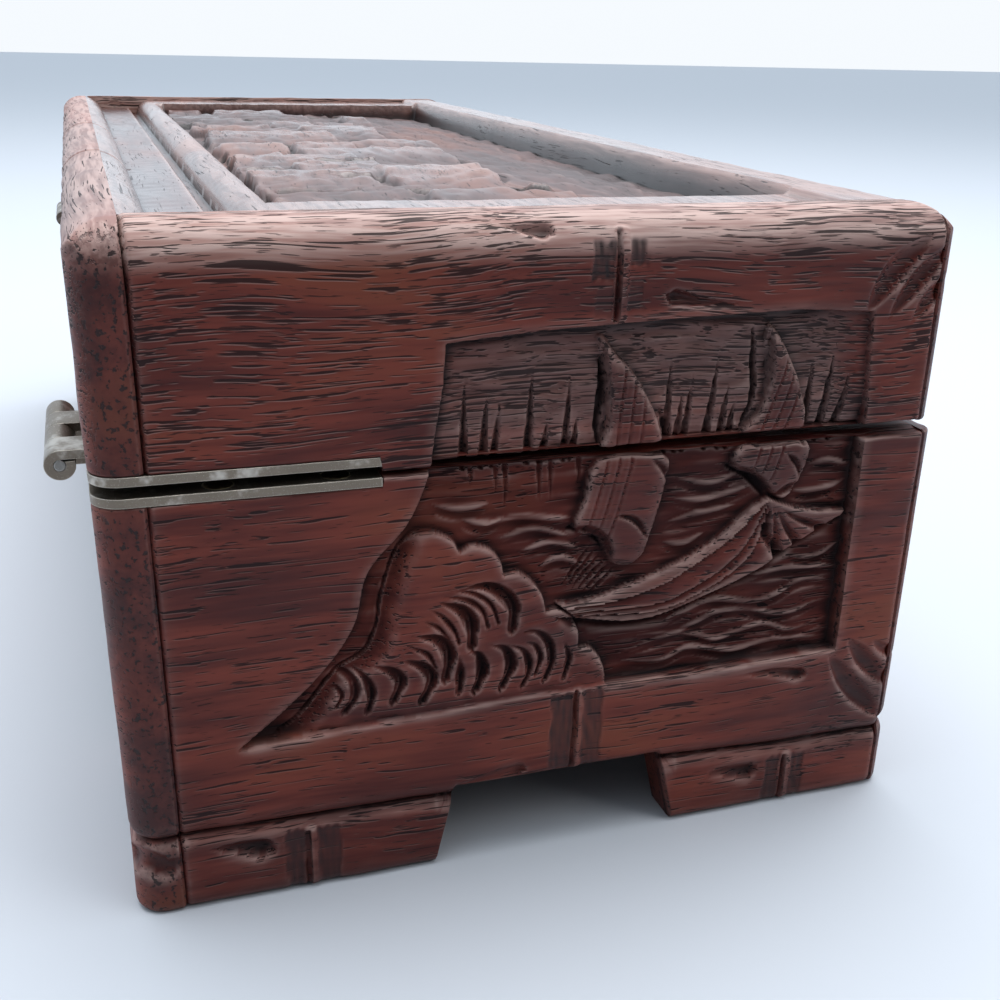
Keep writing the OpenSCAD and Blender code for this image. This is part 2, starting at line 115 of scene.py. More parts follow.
# %% [markdown]
# The light is that of a bright room: a wide soft ceiling that whitens the top, and a weaker glow from the
# viewer's side. The wall behind the box is the brightest part of the room, so the lid mirrors it at a
# shallow angle, while the near end faces the dim side. The world's light follows from one dot product.

# %% Floor, world and lamps
FLOOR_SIZE = 12.0
BRIGHT_SIDE = (0.72, 0.0, 0.69)
DIM_TURN, BRIGHT_TURN = -0.35, 0.75
ROOM_DIM = 0.05
ROOM_BRIGHT = 1.25
FLOOR_SHOWN = (0.62, 0.65, 0.70, 1)
FLOOR_BOUNCE = (0.20, 0.21, 0.24, 1)


def soft_lamp(name, place, target, size, power):
    """A square area lamp of that size in metres, turned to face the target."""
    lamp = bpy.data.objects.new(name, bpy.data.lights.new(name, "AREA"))
    lamp.data.shape = "SQUARE"
    lamp.data.size = size
    lamp.data.energy = power
    lamp.location = place
    lamp.rotation_euler = (Vector(target) - Vector(place)).to_track_quat("-Z", "Y").to_euler()
    bpy.context.scene.collection.objects.link(lamp)
    return lamp


soft_lamp("ceiling", (0.15, -0.10, 1.3), (0, 0, 0.05), 1.2, 17)
soft_lamp("window", (-0.8, -0.85, 0.75), (-0.1, 0, 0.05), 0.6, 2.6)

world = bpy.data.worlds.new("room")
bpy.context.scene.world = world
world.use_nodes = True
room = world.node_tree
room.nodes.clear()


def add(tree, kind, inputs=(), **settings):
    """A new node. The inputs map socket names or numbers to values or to other nodes' sockets."""
    made = tree.nodes.new("ShaderNode" + kind)
    for key, value in settings.items():
        setattr(made, key, value)
    for key, value in dict(inputs).items():
        if isinstance(value, bpy.types.NodeSocket):
            tree.links.new(value, made.inputs[key])
        else:
            made.inputs[key].default_value = value
    return made


rays = add(room, "LightPath").outputs
way_out = add(room, "TexCoord").outputs["Generated"]
to_wall = add(room, "VectorMath", {0: way_out, 1: BRIGHT_SIDE}, operation="DOT_PRODUCT").outputs["Value"]
bright = add(room, "MapRange", {0: to_wall, 1: DIM_TURN, 2: BRIGHT_TURN, 3: ROOM_DIM, 4: ROOM_BRIGHT},
             interpolation_type="SMOOTHSTEP").outputs[0]
lit = add(room, "Background", {"Color": (0.80, 0.90, 1.0, 1), "Strength": bright}).outputs[0]
shown = add(room, "Background", {"Color": (0.92, 0.96, 1.0, 1), "Strength": 1.0}).outputs[0]
seen = add(room, "MixShader", {0: rays["Is Camera Ray"], 1: lit, 2: shown}).outputs[0]
add(room, "OutputWorld", {"Surface": seen})
bpy.context.scene.view_settings.view_transform = "Standard"

floor_mesh = bpy.data.meshes.new("floor")
half = FLOOR_SIZE / 2
corners = [(-half, -half, 0), (half, -half, 0), (half, half, 0), (-half, half, 0)]
floor_mesh.from_pydata(corners, [], [(0, 1, 2, 3)])
floor = bpy.data.objects.new("floor", floor_mesh)
bpy.context.scene.collection.objects.link(floor)
floor_paint = bpy.data.materials.new("floor_paint")
floor_paint.use_nodes = True
floor_nodes = floor_paint.node_tree
floor_shader = floor_nodes.nodes["Principled BSDF"]
floor_shader.inputs["Roughness"].default_value = 0.8
floor_rays = add(floor_nodes, "LightPath").outputs
floor_seen = add(floor_nodes, "Math", {0: floor_rays["Is Camera Ray"], 1: floor_rays["Is Glossy Ray"]},
                 operation="MAXIMUM").outputs[0]
floor_colour = add(floor_nodes, "Mix", {0: floor_seen, 6: FLOOR_BOUNCE, 7: FLOOR_SHOWN}, data_type="RGBA")
floor_nodes.links.new(floor_colour.outputs[2], floor_shader.inputs["Base Color"])
floor_mesh.materials.append(floor_paint)

# %% [markdown]
# Every carved shape is built from a few plain tools that work on whole arrays: a soft step, a curve
# through given points, the distance to such a curve, and the distance to the edge of an outline.
# They play the part of the carver's knife, gouge and drawn line.

# %% Tools for carving


def smooth(t):
    """A soft step from 0 to 1 while t goes from 0 to 1: three t squared minus two t cubed."""
    t = np.clip(t, 0, 1)
    return t * t * (3 - 2 * t)


def edge_drop(d, r):
    """How far a quarter-round of radius r falls below the flat at distance d from its edge."""
    reach = np.clip(r - d, 0, r)
    return r - np.sqrt(r * r - reach * reach)


def spaced(stops, steps):
    """Places between the stops, each stretch cut into equal steps of about the size given for it."""
    counts = [max(2, round((b - a) / step) + 1) for a, b, step in zip(stops, stops[1:], steps)]
    runs = [np.linspace(a, b, count)[:-1] for a, b, count in zip(stops, stops[1:], counts)]
    return np.concatenate(runs + [np.array(stops[-1:], float)])


def curve_through(points, spans=6, closed=False):
    """A Catmull-Rom curve through the points: cubic pieces whose slope at each point is half the step
    from the point before it to the one after it."""
    p = np.array(points, float)
    if len(p) == 2:
        return p
    before, after = (p[-1:], p[:2]) if closed else (2 * p[:1] - p[1:2], 2 * p[-1:] - p[-2:-1])
    q = np.concatenate([before, p, after])
    t = np.linspace(0, 1, spans, endpoint=False)[:, None]
    runs = []
    for a, b, c, d in zip(q, q[1:], q[2:], q[3:]):
        runs.append(0.5 * (2 * b + (c - a) * t + (2 * a - 5 * b + 4 * c - d) * t**2
                           + (3 * b - a - 3 * c + d) * t**3))
    return np.concatenate(runs if closed else runs + [p[-1:]])


def along(u, z, path):
    """For each place: its distance from a path, the share of the path's length at the nearest point, and
    the side it lies on. Each straight run offers its nearest point, and the closest run wins."""
    best = np.full(u.shape, 1e9)
    share = np.zeros(u.shape)
    side = np.zeros(u.shape)
    lengths = np.hypot(*np.diff(path, axis=0).T)
    reach = np.concatenate([[0], np.cumsum(lengths)]) / lengths.sum()
    for a, b, s0, s1 in zip(path, path[1:], reach, reach[1:]):
        run = b - a
        t = np.clip(((u - a[0]) * run[0] + (z - a[1]) * run[1]) / max(run @ run, 1e-9), 0, 1)
        d = np.hypot(u - a[0] - t * run[0], z - a[1] - t * run[1])
        closer = d < best
        best = np.where(closer, d, best)
        share = np.where(closer, s0 + (s1 - s0) * t, share)
        side = np.where(closer, np.sign(run[0] * (z - a[1]) - run[1] * (u - a[0])), side)
    return best, share, side


def inside(u, z, outline):
    """Distance from the edge of a closed outline, above 0 inside it: the nearest edge, with the sign of
    how often a ray towards larger u crosses the outline."""
    best = np.full(u.shape, 1e9)
    odd = np.zeros(u.shape, bool)
    for a, b in zip(outline, np.roll(outline, -1, axis=0)):
        run = b - a
        t = np.clip(((u - a[0]) * run[0] + (z - a[1]) * run[1]) / max(run @ run, 1e-9), 0, 1)
        best = np.minimum(best, np.hypot(u - a[0] - t * run[0], z - a[1] - t * run[1]))
        rise = b[1] - a[1]
        if abs(rise) > 1e-9:
            crosses = ((a[1] > z) != (b[1] > z)) & (u < a[0] + (z - a[1]) * run[0] / rise)
            odd ^= crosses
    return np.where(odd, best, -best)


def around(u, z, path, margin):
    """The places within a margin of a path's own box."""
    low, high = path.min(0) - margin, path.max(0) + margin
    return (u > low[0]) & (u < high[0]) & (z > low[1]) & (z < high[1])


def uneven(a, b, size, seed):
    """Smooth unevenness of about plus and minus one: nine sine waves of nearly that length, each in its
    own direction and phase."""
    rng = np.random.default_rng(seed)
    total = np.zeros(np.broadcast(a, b).shape)
    draws = rng.uniform(0, np.pi, 9), rng.uniform(0.6, 1.7, 9), rng.uniform(0, 6.3, 9)
    for turn, stretch, phase in zip(*draws):
        k = 2 * np.pi * stretch / size
        total += np.sin(k * (a * np.cos(turn) + b * np.sin(turn)) + phase)
    return total / 3


STRIAE_PITCH = 0.8
TAPERS = {
    "lens": lambda t: np.sin(np.pi * np.clip(t, 0.02, 0.98)) ** 0.7,
    "crescent": lambda t: np.sin(np.pi * np.clip(t, 0.05, 0.84) ** 1.35) ** 0.75,
    "wedge": lambda t: np.clip(t, 0.05, 1) ** 0.8,
    "even": lambda t: np.ones_like(t),
}


def gouge(depth, u, z, points, width, deep, taper="lens", lean=0.0, striae=0.0):
    """Presses a round-bottomed groove along a curve. Its depth falls with the square of the distance from
    the curve, and the taper narrows it towards its ends. A lean makes one side steeper, and striae leave
    the fine lines of a chipped edge along the second half of the stroke."""
    path = curve_through(points)
    near = around(u, z, path, 2 * width)
    d, t, side = along(u[near], z[near], path)
    w = width * TAPERS[taper](t) * (1 + lean * side)
    body = TAPERS[taper](t) * np.clip(1 - (d / w) ** 2, 0, 1)
    depth[near] += deep * body
    if striae:
        lines = striae * np.cos(2 * np.pi * side * d / STRIAE_PITCH)
        depth[near] += lines * smooth(body / 0.3) * smooth((t - 0.4) / 0.25)


def mass(depth, u, z, outline, level, crown, edge=0.5, margin=4.0):
    """Leaves a raised mass standing: inside the outline the depth becomes the level, rising by the crown
    over the first few millimetres from the edge, as a rounded shoulder."""
    near = around(u, z, outline, margin)
    d = inside(u[near], z[near], outline)
    shoulder = crown * (1 - np.sqrt(1 - np.clip(1 - d / 3.0, 0, 1) ** 2))
    keep = smooth(0.5 + d / edge)
    depth[near] = depth[near] * (1 - keep) + (level + shoulder) * keep
    return near, d


# %% [markdown]
# The near end carries a harbour scene of the kind that such boxes share: a leafy hill, a junk with two
# battened sails, reeds and rippling water, sunk in a field with a curved edge. The outlines are short
# lists of points in millimetres on the end face, written as (u, z).

# %% Outlines of the end's carving
FIELD_EDGE = [(16.8, 26.7), (27.4, 35.6), (33.9, 44.0), (36.3, 52.5), (42.2, 59.3), (45.2, 66.0),
              (45.9, 70.0)]
FIELD_REST = [(47.5, 79.3), (47.8, 84.8), (62.6, 85.9), (82.3, 86.7), (102.6, 87.1), (114.6, 86.4),
              (115.8, 67.0), (116.0, 28.9), (90.0, 28.2), (60.0, 28.6)]
HILL_SIDE = [(22.0, 27.0), (26.4, 30.6), (31.1, 36.4), (35.6, 39.0), (37.6, 43.0), (38.4, 47.6),
             (39.6, 52.0), (41.0, 55.4)]
HILL_SCALLOPS = [[(41.0, 55.4), (43.0, 57.0), (46.0, 57.2), (48.8, 55.8), (50.1, 53.7)],
                 [(50.1, 53.7), (52.0, 54.5), (54.6, 53.7), (56.4, 51.6), (57.0, 49.2)],
                 [(57.0, 49.2), (59.2, 49.3), (61.4, 47.8), (63.2, 45.2), (63.9, 42.4)],
                 [(63.9, 42.4), (66.2, 42.4), (68.4, 40.7), (69.4, 38.2), (69.5, 35.4)],
                 [(69.5, 35.4), (71.6, 35.0), (73.4, 32.8), (74.3, 30.0), (74.2, 27.0)]]
HULL_LINES = [[(65.7, 43.3), (69.8, 43.2), (78.2, 45.4), (86.7, 48.3), (92.6, 51.6), (97.6, 55.8),
               (100.6, 57.4)],
              [(66.6, 42.3), (75.8, 42.9), (83.5, 44.9), (89.4, 48.0), (94.9, 51.5), (100.4, 56.9)],
              [(67.2, 41.6), (81.6, 41.4), (87.3, 43.0), (93.2, 46.2), (97.3, 50.0), (100.8, 56.6)],
              [(67.8, 41.1), (82.4, 40.2), (89.4, 42.2), (95.4, 45.6), (99.2, 49.6), (101.0, 56.5)],
              [(68.7, 40.6), (76.5, 39.1), (83.0, 39.3), (91.3, 41.9), (99.7, 45.1), (104.0, 47.7)]]
STERN = [(100.6, 57.4), (102.4, 56.6), (105.4, 55.4), (110.0, 54.4), (115.2, 54.0), (114.1, 53.0),
         (110.1, 51.0), (104.0, 47.7), (101.4, 51.5)]
STERN_CUTS = [[(101.4, 56.0), (102.4, 51.6), (103.2, 47.4)],
              [(101.9, 55.9), (104.0, 52.4), (106.3, 49.4)],
              [(102.6, 55.8), (106.0, 53.4), (110.4, 51.4)]]
SAIL_NEAR = [(71.4, 66.0), (82.0, 66.0), (82.8, 61.6), (80.6, 53.0), (79.4, 49.8), (76.9, 48.4),
             (74.2, 49.4), (72.2, 53.2), (68.0, 55.4), (69.5, 60.0)]
SAIL_FAR = [(95.6, 66.8), (106.6, 66.8), (106.2, 60.4), (103.6, 56.9), (101.2, 58.2), (99.2, 60.6),
            (94.2, 62.8)]
LID_SAIL_NEAR = [(70.6, 84.6), (73.4, 81.8), (76.6, 78.6), (79.2, 74.4), (81.0, 70.6), (81.0, 67.0),
                 (71.8, 67.0), (72.6, 71.0), (72.4, 76.0)]
LID_SAIL_FAR = [(97.6, 84.6), (99.8, 83.2), (102.4, 79.0), (104.6, 74.4), (105.8, 67.0), (94.8, 67.0),
                (97.6, 71.5), (98.6, 76.0)]
LID_REEDS = [(51.0, 78.4, 0.0), (54.4, 77.2, -0.6), (56.2, 75.3, -0.7), (61.2, 80.8, -0.4),
             (63.7, 72.7, -0.9), (66.7, 78.6, -0.2), (68.3, 73.3, -0.7), (82.7, 81.1, 0.1),
             (84.9, 75.5, -0.4), (86.4, 78.0, -0.6), (90.5, 81.4, -1.0), (92.5, 76.4, -0.7),
             (94.0, 74.0, -0.8), (106.6, 80.3, -0.4), (109.9, 81.5, -0.9), (112.6, 78.0, -1.2)]
BODY_REEDS = [(52.0, 63.0), (55.9, 61.4), (57.4, 58.6), (62.6, 58.8), (64.4, 59.6), (68.9, 61.4)]
LEAF_STROKES = [([(50.0, 47.9), (53.8, 48.1), (56.9, 46.6), (58.8, 43.9), (58.6, 40.3)], 1.35, 1.6),
                ([(48.1, 48.2), (52.3, 47.0), (55.0, 44.8), (56.2, 41.5)], 0.55, 0.7),
                ([(46.9, 47.1), (50.7, 46.3), (53.5, 44.2), (54.5, 41.1)], 0.6, 0.7),
                ([(46.6, 46.2), (50.2, 44.8), (52.1, 42.3), (52.2, 38.3)], 1.35, 1.5),
                ([(45.0, 45.4), (47.3, 43.9), (49.2, 41.4), (50.0, 39.0)], 0.55, 0.7),
                ([(44.2, 43.4), (46.6, 42.2), (48.4, 39.9)], 0.5, 0.6),
                ([(42.6, 41.2), (46.9, 40.1), (48.7, 37.3), (48.1, 33.2)], 1.3, 1.4),
                ([(41.9, 39.6), (45.0, 38.0), (46.4, 35.2)], 0.6, 0.7),
                ([(49.9, 37.0), (50.4, 34.0), (50.1, 30.7)], 0.9, 1.0),
                ([(36.4, 37.2), (39.7, 35.9), (41.1, 33.8), (39.9, 30.6)], 1.15, 1.2),
                ([(40.6, 37.5), (44.4, 36.0), (46.0, 33.4), (44.4, 29.9)], 1.2, 1.3),
                ([(29.6, 35.2), (31.5, 36.7), (33.7, 35.2), (34.1, 32.4), (32.4, 29.9)], 0.95, 1.0),
                ([(33.3, 37.2), (35.6, 35.2), (36.6, 32.4), (35.9, 29.6)], 0.95, 1.1),
                ([(29.6, 33.8), (31.2, 34.2), (32.0, 32.6), (31.0, 31.0)], 0.55, 0.6),
                ([(51.4, 37.2), (53.2, 36.6), (54.0, 33.8), (52.8, 30.6)], 1.2, 1.6),
                ([(54.6, 38.2), (57.5, 37.0), (58.6, 34.0), (57.0, 30.4)], 1.1, 1.3),
                ([(57.6, 37.7), (60.4, 36.3), (61.5, 33.3), (60.3, 30.2)], 0.75, 0.9),
                ([(59.1, 39.3), (62.1, 39.5), (64.6, 37.2), (65.1, 33.6), (64.0, 30.7)], 0.85, 1.0),
                ([(59.9, 37.9), (62.1, 37.1), (63.2, 34.8), (62.3, 31.9)], 0.6, 0.8),
                ([(66.7, 37.4), (68.0, 34.1), (67.1, 30.6)], 0.7, 0.8)]
RIPPLES = [
    [(84.0, 37.0), (92.4, 40.2), (101.8, 39.0), (109.1, 41.9), (115.6, 41.0)],
    [(80.0, 35.4), (87.3, 35.6), (94.4, 38.0), (100.1, 37.6), (106.0, 36.2), (115.4, 37.9)],
    [(77.2, 32.8), (87.4, 35.0), (94.2, 33.2), (102.4, 34.6), (108.4, 32.9), (115.4, 34.4)],
    [(77.6, 31.2), (84.2, 30.6), (89.6, 32.2), (97.1, 30.6), (104.6, 31.4), (115.0, 30.9)],
    [(100.0, 43.6), (107.0, 44.4), (115.6, 43.6)],
    [(106.4, 46.4), (111.0, 45.9), (115.6, 48.2)],
    [(53.6, 57.2), (59.2, 57.9), (68.2, 57.0)],
    [(56.8, 54.9), (62.0, 55.8), (67.4, 54.2)],
    [(60.0, 52.4), (65.0, 53.4), (69.6, 51.6)],
    [(62.6, 49.4), (66.0, 50.6), (70.0, 49.0)],
    [(84.6, 61.6), (91.0, 60.6), (96.6, 62.0)],
    [(84.4, 58.4), (91.0, 58.0), (98.4, 59.4)],
    [(83.6, 54.4), (89.0, 55.6), (95.6, 56.4)],
    [(83.0, 51.4), (87.0, 51.0), (90.6, 52.2)],
    [(104.8, 58.0), (110.0, 57.6), (115.4, 59.0)],
    [(107.6, 62.0), (111.6, 62.4), (115.4, 61.6)],
    [(46.2, 61.0), (50.0, 60.2), (55.0, 60.6)],
    [(50.6, 58.4), (54.0, 57.6), (57.0, 58.0)],
]

# %% [markdown]
# The depth of the cut is worked out over the whole end at once, lid and body together, so the reeds and
# sails run over the seam as they would if the box had been carved shut. The order matters: first the
# sunk ground, then the masses left standing on it, then the cuts into those masses.

# %% The end's picture


def battens(depth, u, z, near, d, edge, pitch, deep):
    """Narrow grooves at an even pitch beside a sail's leading edge, as its battens."""
    away, _, _ = along(u[near], z[near], curve_through(edge))
    grooves = np.clip(np.cos(2 * np.pi * away / pitch), 0, 1) ** 4 * (away > pitch / 2) * (away < 3.4 * pitch)
    depth[near] += deep * grooves * smooth(d / 0.8)


def hull_of_junk(depth, u, z):
    """The junk's hull: planks between lines that run together at the bow. Each plank leans out from the
    line above it to the one below, so its face catches the light and its foot is a small step. The stern
    opens as a fan of wedges cut from one point."""
    lines = [curve_through(line, 5) for line in HULL_LINES]
    outline = np.concatenate([lines[0], lines[-1][::-1]])
    near = around(u, z, outline, 3.0)
    d = inside(u[near], z[near], outline)
    away, _, sides = zip(*(along(u[near], z[near], line) for line in lines))
    plank = sum((side < 0).astype(int) for side in sides[1:-1])
    above, below = np.array(away)[plank, range(len(plank))], np.array(away)[plank + 1, range(len(plank))]
    share = above / np.maximum(above + below, 1e-6)
    keep = smooth(0.5 + d / 0.4)
    depth[near] = depth[near] * (1 - keep) + (1.35 - 0.75 * share**0.6 + 0.06 * plank) * keep
    depth[near] += 1.1 * np.exp(-((d + 0.8) / 0.8) ** 2) * (sides[-1] < 0)
    stern = np.array(STERN)
    near = around(u, z, stern, 3.0)
    d = inside(u[near], z[near], stern)
    keep = smooth(0.5 + d / 0.4)
    reach = np.hypot(u[near] - stern[0, 0], z[near] - stern[0, 1])
    depth[near] = depth[near] * (1 - keep) + (0.5 + 0.03 * reach) * keep
    depth[near] += 0.9 * np.exp(-((d + 0.7) / 0.7) ** 2) * (z[near] < 53)
    for points in STERN_CUTS:
        gouge(depth, u, z, points, 0.95, 1.2, "wedge", lean=0.3)


def hill_with_leaves(depth, u, z, seed):
    """The leafy hill: a mass with a scalloped top edge, smooth at the left and cut with tufts of leaves. The
    tufts' mask it gives back paints shade into them.
    """
    outline = np.concatenate([curve_through(HILL_SIDE)] + [curve_through(arc, 4) for arc in HILL_SCALLOPS])
    near, d = mass(depth, u, z, outline, 0.7, 0.5, 0.35)
    left_side, _, _ = along(u[near], z[near], curve_through(HILL_SIDE))
    depth[near] += 1.5 * (1 - smooth(left_side / 3.4)) * smooth(0.5 + d)
    depth[near] += 0.10 * uneven(u[near], z[near], 6, seed + 2) * smooth(d)
    tufts = np.zeros(depth.shape)
    for points, width, deep in LEAF_STROKES:
        one = np.zeros(depth.shape)
        gouge(one, u, z, points, width, deep, "crescent", lean=-0.3, striae=0.16)
        tufts = np.maximum(tufts, one)
    inner = np.zeros(depth.shape)
    inner[near] = smooth(0.5 + d / 0.6)
    depth += tufts * inner
    return smooth(tufts / 0.7) * inner


SAILS = [(SAIL_NEAR, [(71.0, 66.4), (69.4, 60.0), (68.0, 55.4)]),
         (LID_SAIL_NEAR, [(73.6, 84.0), (72.6, 76.0), (72.0, 67.6)]),
         (SAIL_FAR, [(96.6, 66.8), (95.4, 62.8)]),
         (LID_SAIL_FAR, [(100.6, 84.0), (98.4, 76.0), (95.6, 67.6)])]
SAIL_CUTS = [([(66.6, 55.2), (70.0, 55.0), (73.0, 52.6), (74.2, 49.2)], 1.0, 1.3),
             ([(74.4, 57.2), (77.7, 55.9), (80.2, 52.6)], 0.55, 0.9),
             ([(80.0, 65.6), (82.0, 63.7), (82.9, 61.6)], 0.6, 0.9),
             ([(92.8, 63.2), (96.6, 61.6), (99.0, 59.4), (100.6, 57.0)], 1.0, 1.3),
             ([(102.8, 64.8), (105.0, 62.6), (106.0, 60.2)], 0.55, 0.9),
             ([(101.6, 57.6), (104.0, 58.6), (106.0, 59.4)], 0.9, 1.0),
             ([(71.0, 84.4), (71.6, 78.0), (71.2, 72.0), (71.6, 68.0)], 0.75, 1.5),
             ([(95.4, 85.2), (96.2, 79.0), (96.4, 73.0), (94.6, 68.0)], 0.6, 1.3),
             ([(97.9, 84.8), (98.4, 80.0), (98.9, 75.0)], 0.55, 1.2),
             ([(81.0, 73.2), (82.0, 70.6), (82.6, 67.6)], 0.6, 0.9)]


def junk(depth, u, z):
    """The junk: its hull, two tall battened sails with undercut edges, and the rigging at the bow."""
    hull_of_junk(depth, u, z)
    for outline, edge in SAILS:
        near, d = mass(depth, u, z, curve_through(outline, 3, closed=True), 0.7, 0.9)
        battens(depth, u, z, near, d, edge, 1.9, 0.3)
    for points, width, deep in SAIL_CUTS:
        gouge(depth, u, z, points, width, deep, lean=0.25)
    for i in range(6):
        gouge(depth, u, z, [(71.6 + 0.75 * i, 52.4 - 0.9 * i), (66.6 + 0.9 * i, 45.6 - 0.35 * i)], 0.4, 0.5)


def ripples(depth, u, z, lines):
    """Water: each line is a low ridge with a groove just below it."""
    for line in lines:
        line = np.array(line, float)
        gouge(depth, u, z, line, 0.8, -0.62)
        gouge(depth, u, z, line - (0, 1.15), 0.85, 0.42)


def reeds(depth, u, z):
    """Reeds: wedge cuts that widen downwards to the seam, and shorter ones that hang below it."""
    for tip_u, tip_z, drift in LID_REEDS:
        gouge(depth, u, z, [(tip_u, tip_z), (tip_u + drift, LID_Z - 1.5)], 0.85, 1.35, "wedge", lean=-0.3)
    for tip_u, tip_z in BODY_REEDS:
        gouge(depth, u, z, [(tip_u, tip_z), (tip_u - 0.4, RIM + 1)], 0.6, 0.7, "wedge", lean=-0.3)


def chiselled_ground(u, z, low, high, marks, seed):
    """The sunk ground: slow waves, finer waves drawn out along the grain, and scattered short tool marks."""
    ground = FIELD_DEEP + 0.14 * uneven(u / 3, z, 3.2, seed) + 0.16 * uneven(u, z, 14, seed + 1)
    rng = np.random.default_rng(seed + 40)
    for start in rng.uniform(low, high, (marks, 2)):
        end = start + (rng.uniform(5, 11), rng.uniform(-0.5, 0.5))
        gouge(ground, u, z, [start, end], 0.4, 0.18)
    return ground


def end_picture(u, z, seed):
    """Depth of the sunk field and its picture below the end's face, in millimetres."""
    field = np.concatenate([curve_through(FIELD_EDGE), np.array(FIELD_REST, float)])
    border = inside(u, z, field)
    shallow_corner = smooth((u - 103) / 12) * smooth((z - 66) / 8)
    depth = chiselled_ground(u, z, (47, 44), (108, 85), 26, seed) * (1 - 0.62 * shallow_corner)
    ripples(depth, u, z, RIPPLES)
    leaves = hill_with_leaves(depth, u, z, seed)
    junk(depth, u, z)
    reeds(depth, u, z)
    return depth * smooth(0.5 + border / 0.55), border, leaves


# %% [markdown]
# Round the picture runs a frame cut to look like bamboo: at each joint two shallow stained pads flank a
# groove, corners are mitred with long lens-shaped cuts, and small scoops with a blunt end stand for buds.
# Below it a hollow separates the plinth, whose upper edge is rounded over.

# %% The end's bamboo frame and feet
PADS = [(68.3, 72.3, 92.4, 98.4, 1.0), (68.8, 72.0, 87.2, 92.0, 0.45), (74.0, 77.0, 94.2, 98.6, 0.95),
        (73.7, 76.6, 88.0, 93.4, 0.4), (64.6, 68.9, 13.8, 28.3, 0.9), (70.0, 73.9, 13.6, 28.5, 0.8),
        (22.3, 25.5, -1.0, 11.4, 0.85), (27.0, 31.0, -1.0, 11.2, 0.75), (104.8, 108.0, -1.0, 9.8, 0.85),
        (109.9, 113.0, -1.0, 9.6, 0.8)]
JOINT_CUTS = [[(73.0, 99.6), (72.8, 87.0)], [(69.6, 28.0), (69.3, 13.8)], [(26.3, 10.4), (26.2, -1.0)],
              [(109.0, 9.2), (108.9, -1.0)]]
MITRES = [([(113.4, 86.4), (118.4, 92.6), (123.4, 97.6)], 2.3, 1.0),
          ([(117.6, 85.4), (122.6, 91.2), (127.6, 96.2)], 1.9, 1.0),
          ([(121.8, 84.6), (125.4, 88.6), (129.4, 91.6)], 1.6, 0.8),
          ([(115.0, 28.0), (120.4, 20.6), (127.4, 13.9)], 2.2, 1.2),
          ([(118.4, 30.6), (122.6, 25.4), (128.4, 20.1)], 2.0, 1.2),
          ([(123.4, 29.6), (126.4, 27.2), (129.6, 25.4)], 1.2, 0.8)]
BUDS = [([(55.6, 100.9), (58.6, 100.2), (61.4, 99.6)], 1.5, 1.1),
        ([(92.0, 88.4), (86.0, 89.2), (81.4, 90.2)], 1.3, 1.2),
        ([(46.4, 12.8), (53.0, 14.4), (59.4, 14.8)], 1.4, 1.0),
        ([(98.0, 26.6), (104.4, 26.2), (109.4, 25.0)], 1.3, 1.2),
        ([(11.2, 10.2), (15.4, 9.4), (18.6, 8.4)], 1.9, 1.5),
        ([(92.4, 8.4), (97.6, 7.8), (101.6, 7.0)], 1.7, 1.2)]
LEDGE_LINE = [(0, 12.3), (50, 11.6), (85, 12.0), (105, 10.9), (130, 10.7)]


def pad_shape(u, z, pad):
    """How strongly a pad is stained: its own strength inside a ragged soft edge, streaked up and down."""
    u0, u1, z0, z1, strength = pad
    wander = 0.2 * uneven(u, z / 3, 1.8, 7)
    streaks = 0.85 + 0.15 * uneven(u, z / 6, 0.9, 8)
    return strength * streaks * (smooth((u - u0 + wander) / 0.5) * smooth((u1 - u + wander) / 0.5)
                                 * smooth((z - z0 + wander) / 0.8) * smooth((z1 - z + wander) / 0.8))


def plinth_depth(z, ledge):
    """The hollow above the plinth: two quarter-rounds that meet in it, the board's from above and the
    plinth's from below."""
    above = z - ledge - 0.8
    return np.where(above > 0, 0.85 * edge_drop(above, 2.6), 0.92 * edge_drop(-above, 2.4))


def end_depth(u, z, seed):
    """Depth of everything cut into an end, with the mask of the sunk ground and that of the stained pads.
    The ground mask paints shade that deepens with the cut and fills the leaf tufts; on the lid it is below 0,
    which paints the lid's ground lighter."""
    picture, border, leaves = end_picture(u, z, seed)
    depth = picture + 0.07 * uneven(u, z, 24, seed + 3) + 0.03 * uneven(u, z, 7, seed + 4)
    depth += plinth_depth(z, np.interp(u, *zip(*LEDGE_LINE)))
    pads = np.zeros(u.shape)
    for pad in PADS:
        pads = np.maximum(pads, pad_shape(u, z, pad) * (border < 0.3))
    depth += 0.25 * pads
    for cut in JOINT_CUTS:
        gouge(depth, u, z, cut, 1.3, -0.35, "even")
        gouge(depth, u, z, np.array(cut) - (0.5, 0), 0.45, 0.8, "even")
    for points, width, deep in MITRES:
        gouge(depth, u, z, points, width, deep, lean=0.2)
    for points, width, deep in BUDS:
        gouge(depth, u, z, points, width, deep, "wedge", lean=0.25)
    # The ground mask: the ground's duller tone, with painted shade that grows with the cut and fills the tufts.
    ground = smooth(border / 1.2) * np.maximum(smooth((picture - 0.9) / 1.2), leaves)
    # Below 0 on the lid, where it paints the ground lighter.
    ground = ground * (1 - 2.0 * (z > RIM + 1))
    return depth, ground, pads


# %% [markdown]
# A board's skin is found by shooting rays outwards from a line inside the board until they meet the box's
# outer shape: a rounded rectangle in plan, and for the lid a top that falls away at its edges and swells
# into a bamboo rail at the back. Halving the search interval again and again finds the meeting point for
# the whole grid at once.

# %% The box's outer shape


def beyond_plan(x, u, depth):
    """Distance beyond the rounded rectangle of the box's plan, below 0 inside it."""
    qx = np.abs(x - CASE_L / 2) - (CASE_L / 2 - CORNER_R)
    qu = np.abs(u - depth / 2) - (depth / 2 - CORNER_R)
    return np.hypot(qx.clip(0), qu.clip(0)) + np.minimum(np.maximum(qx, qu), 0) - CORNER_R


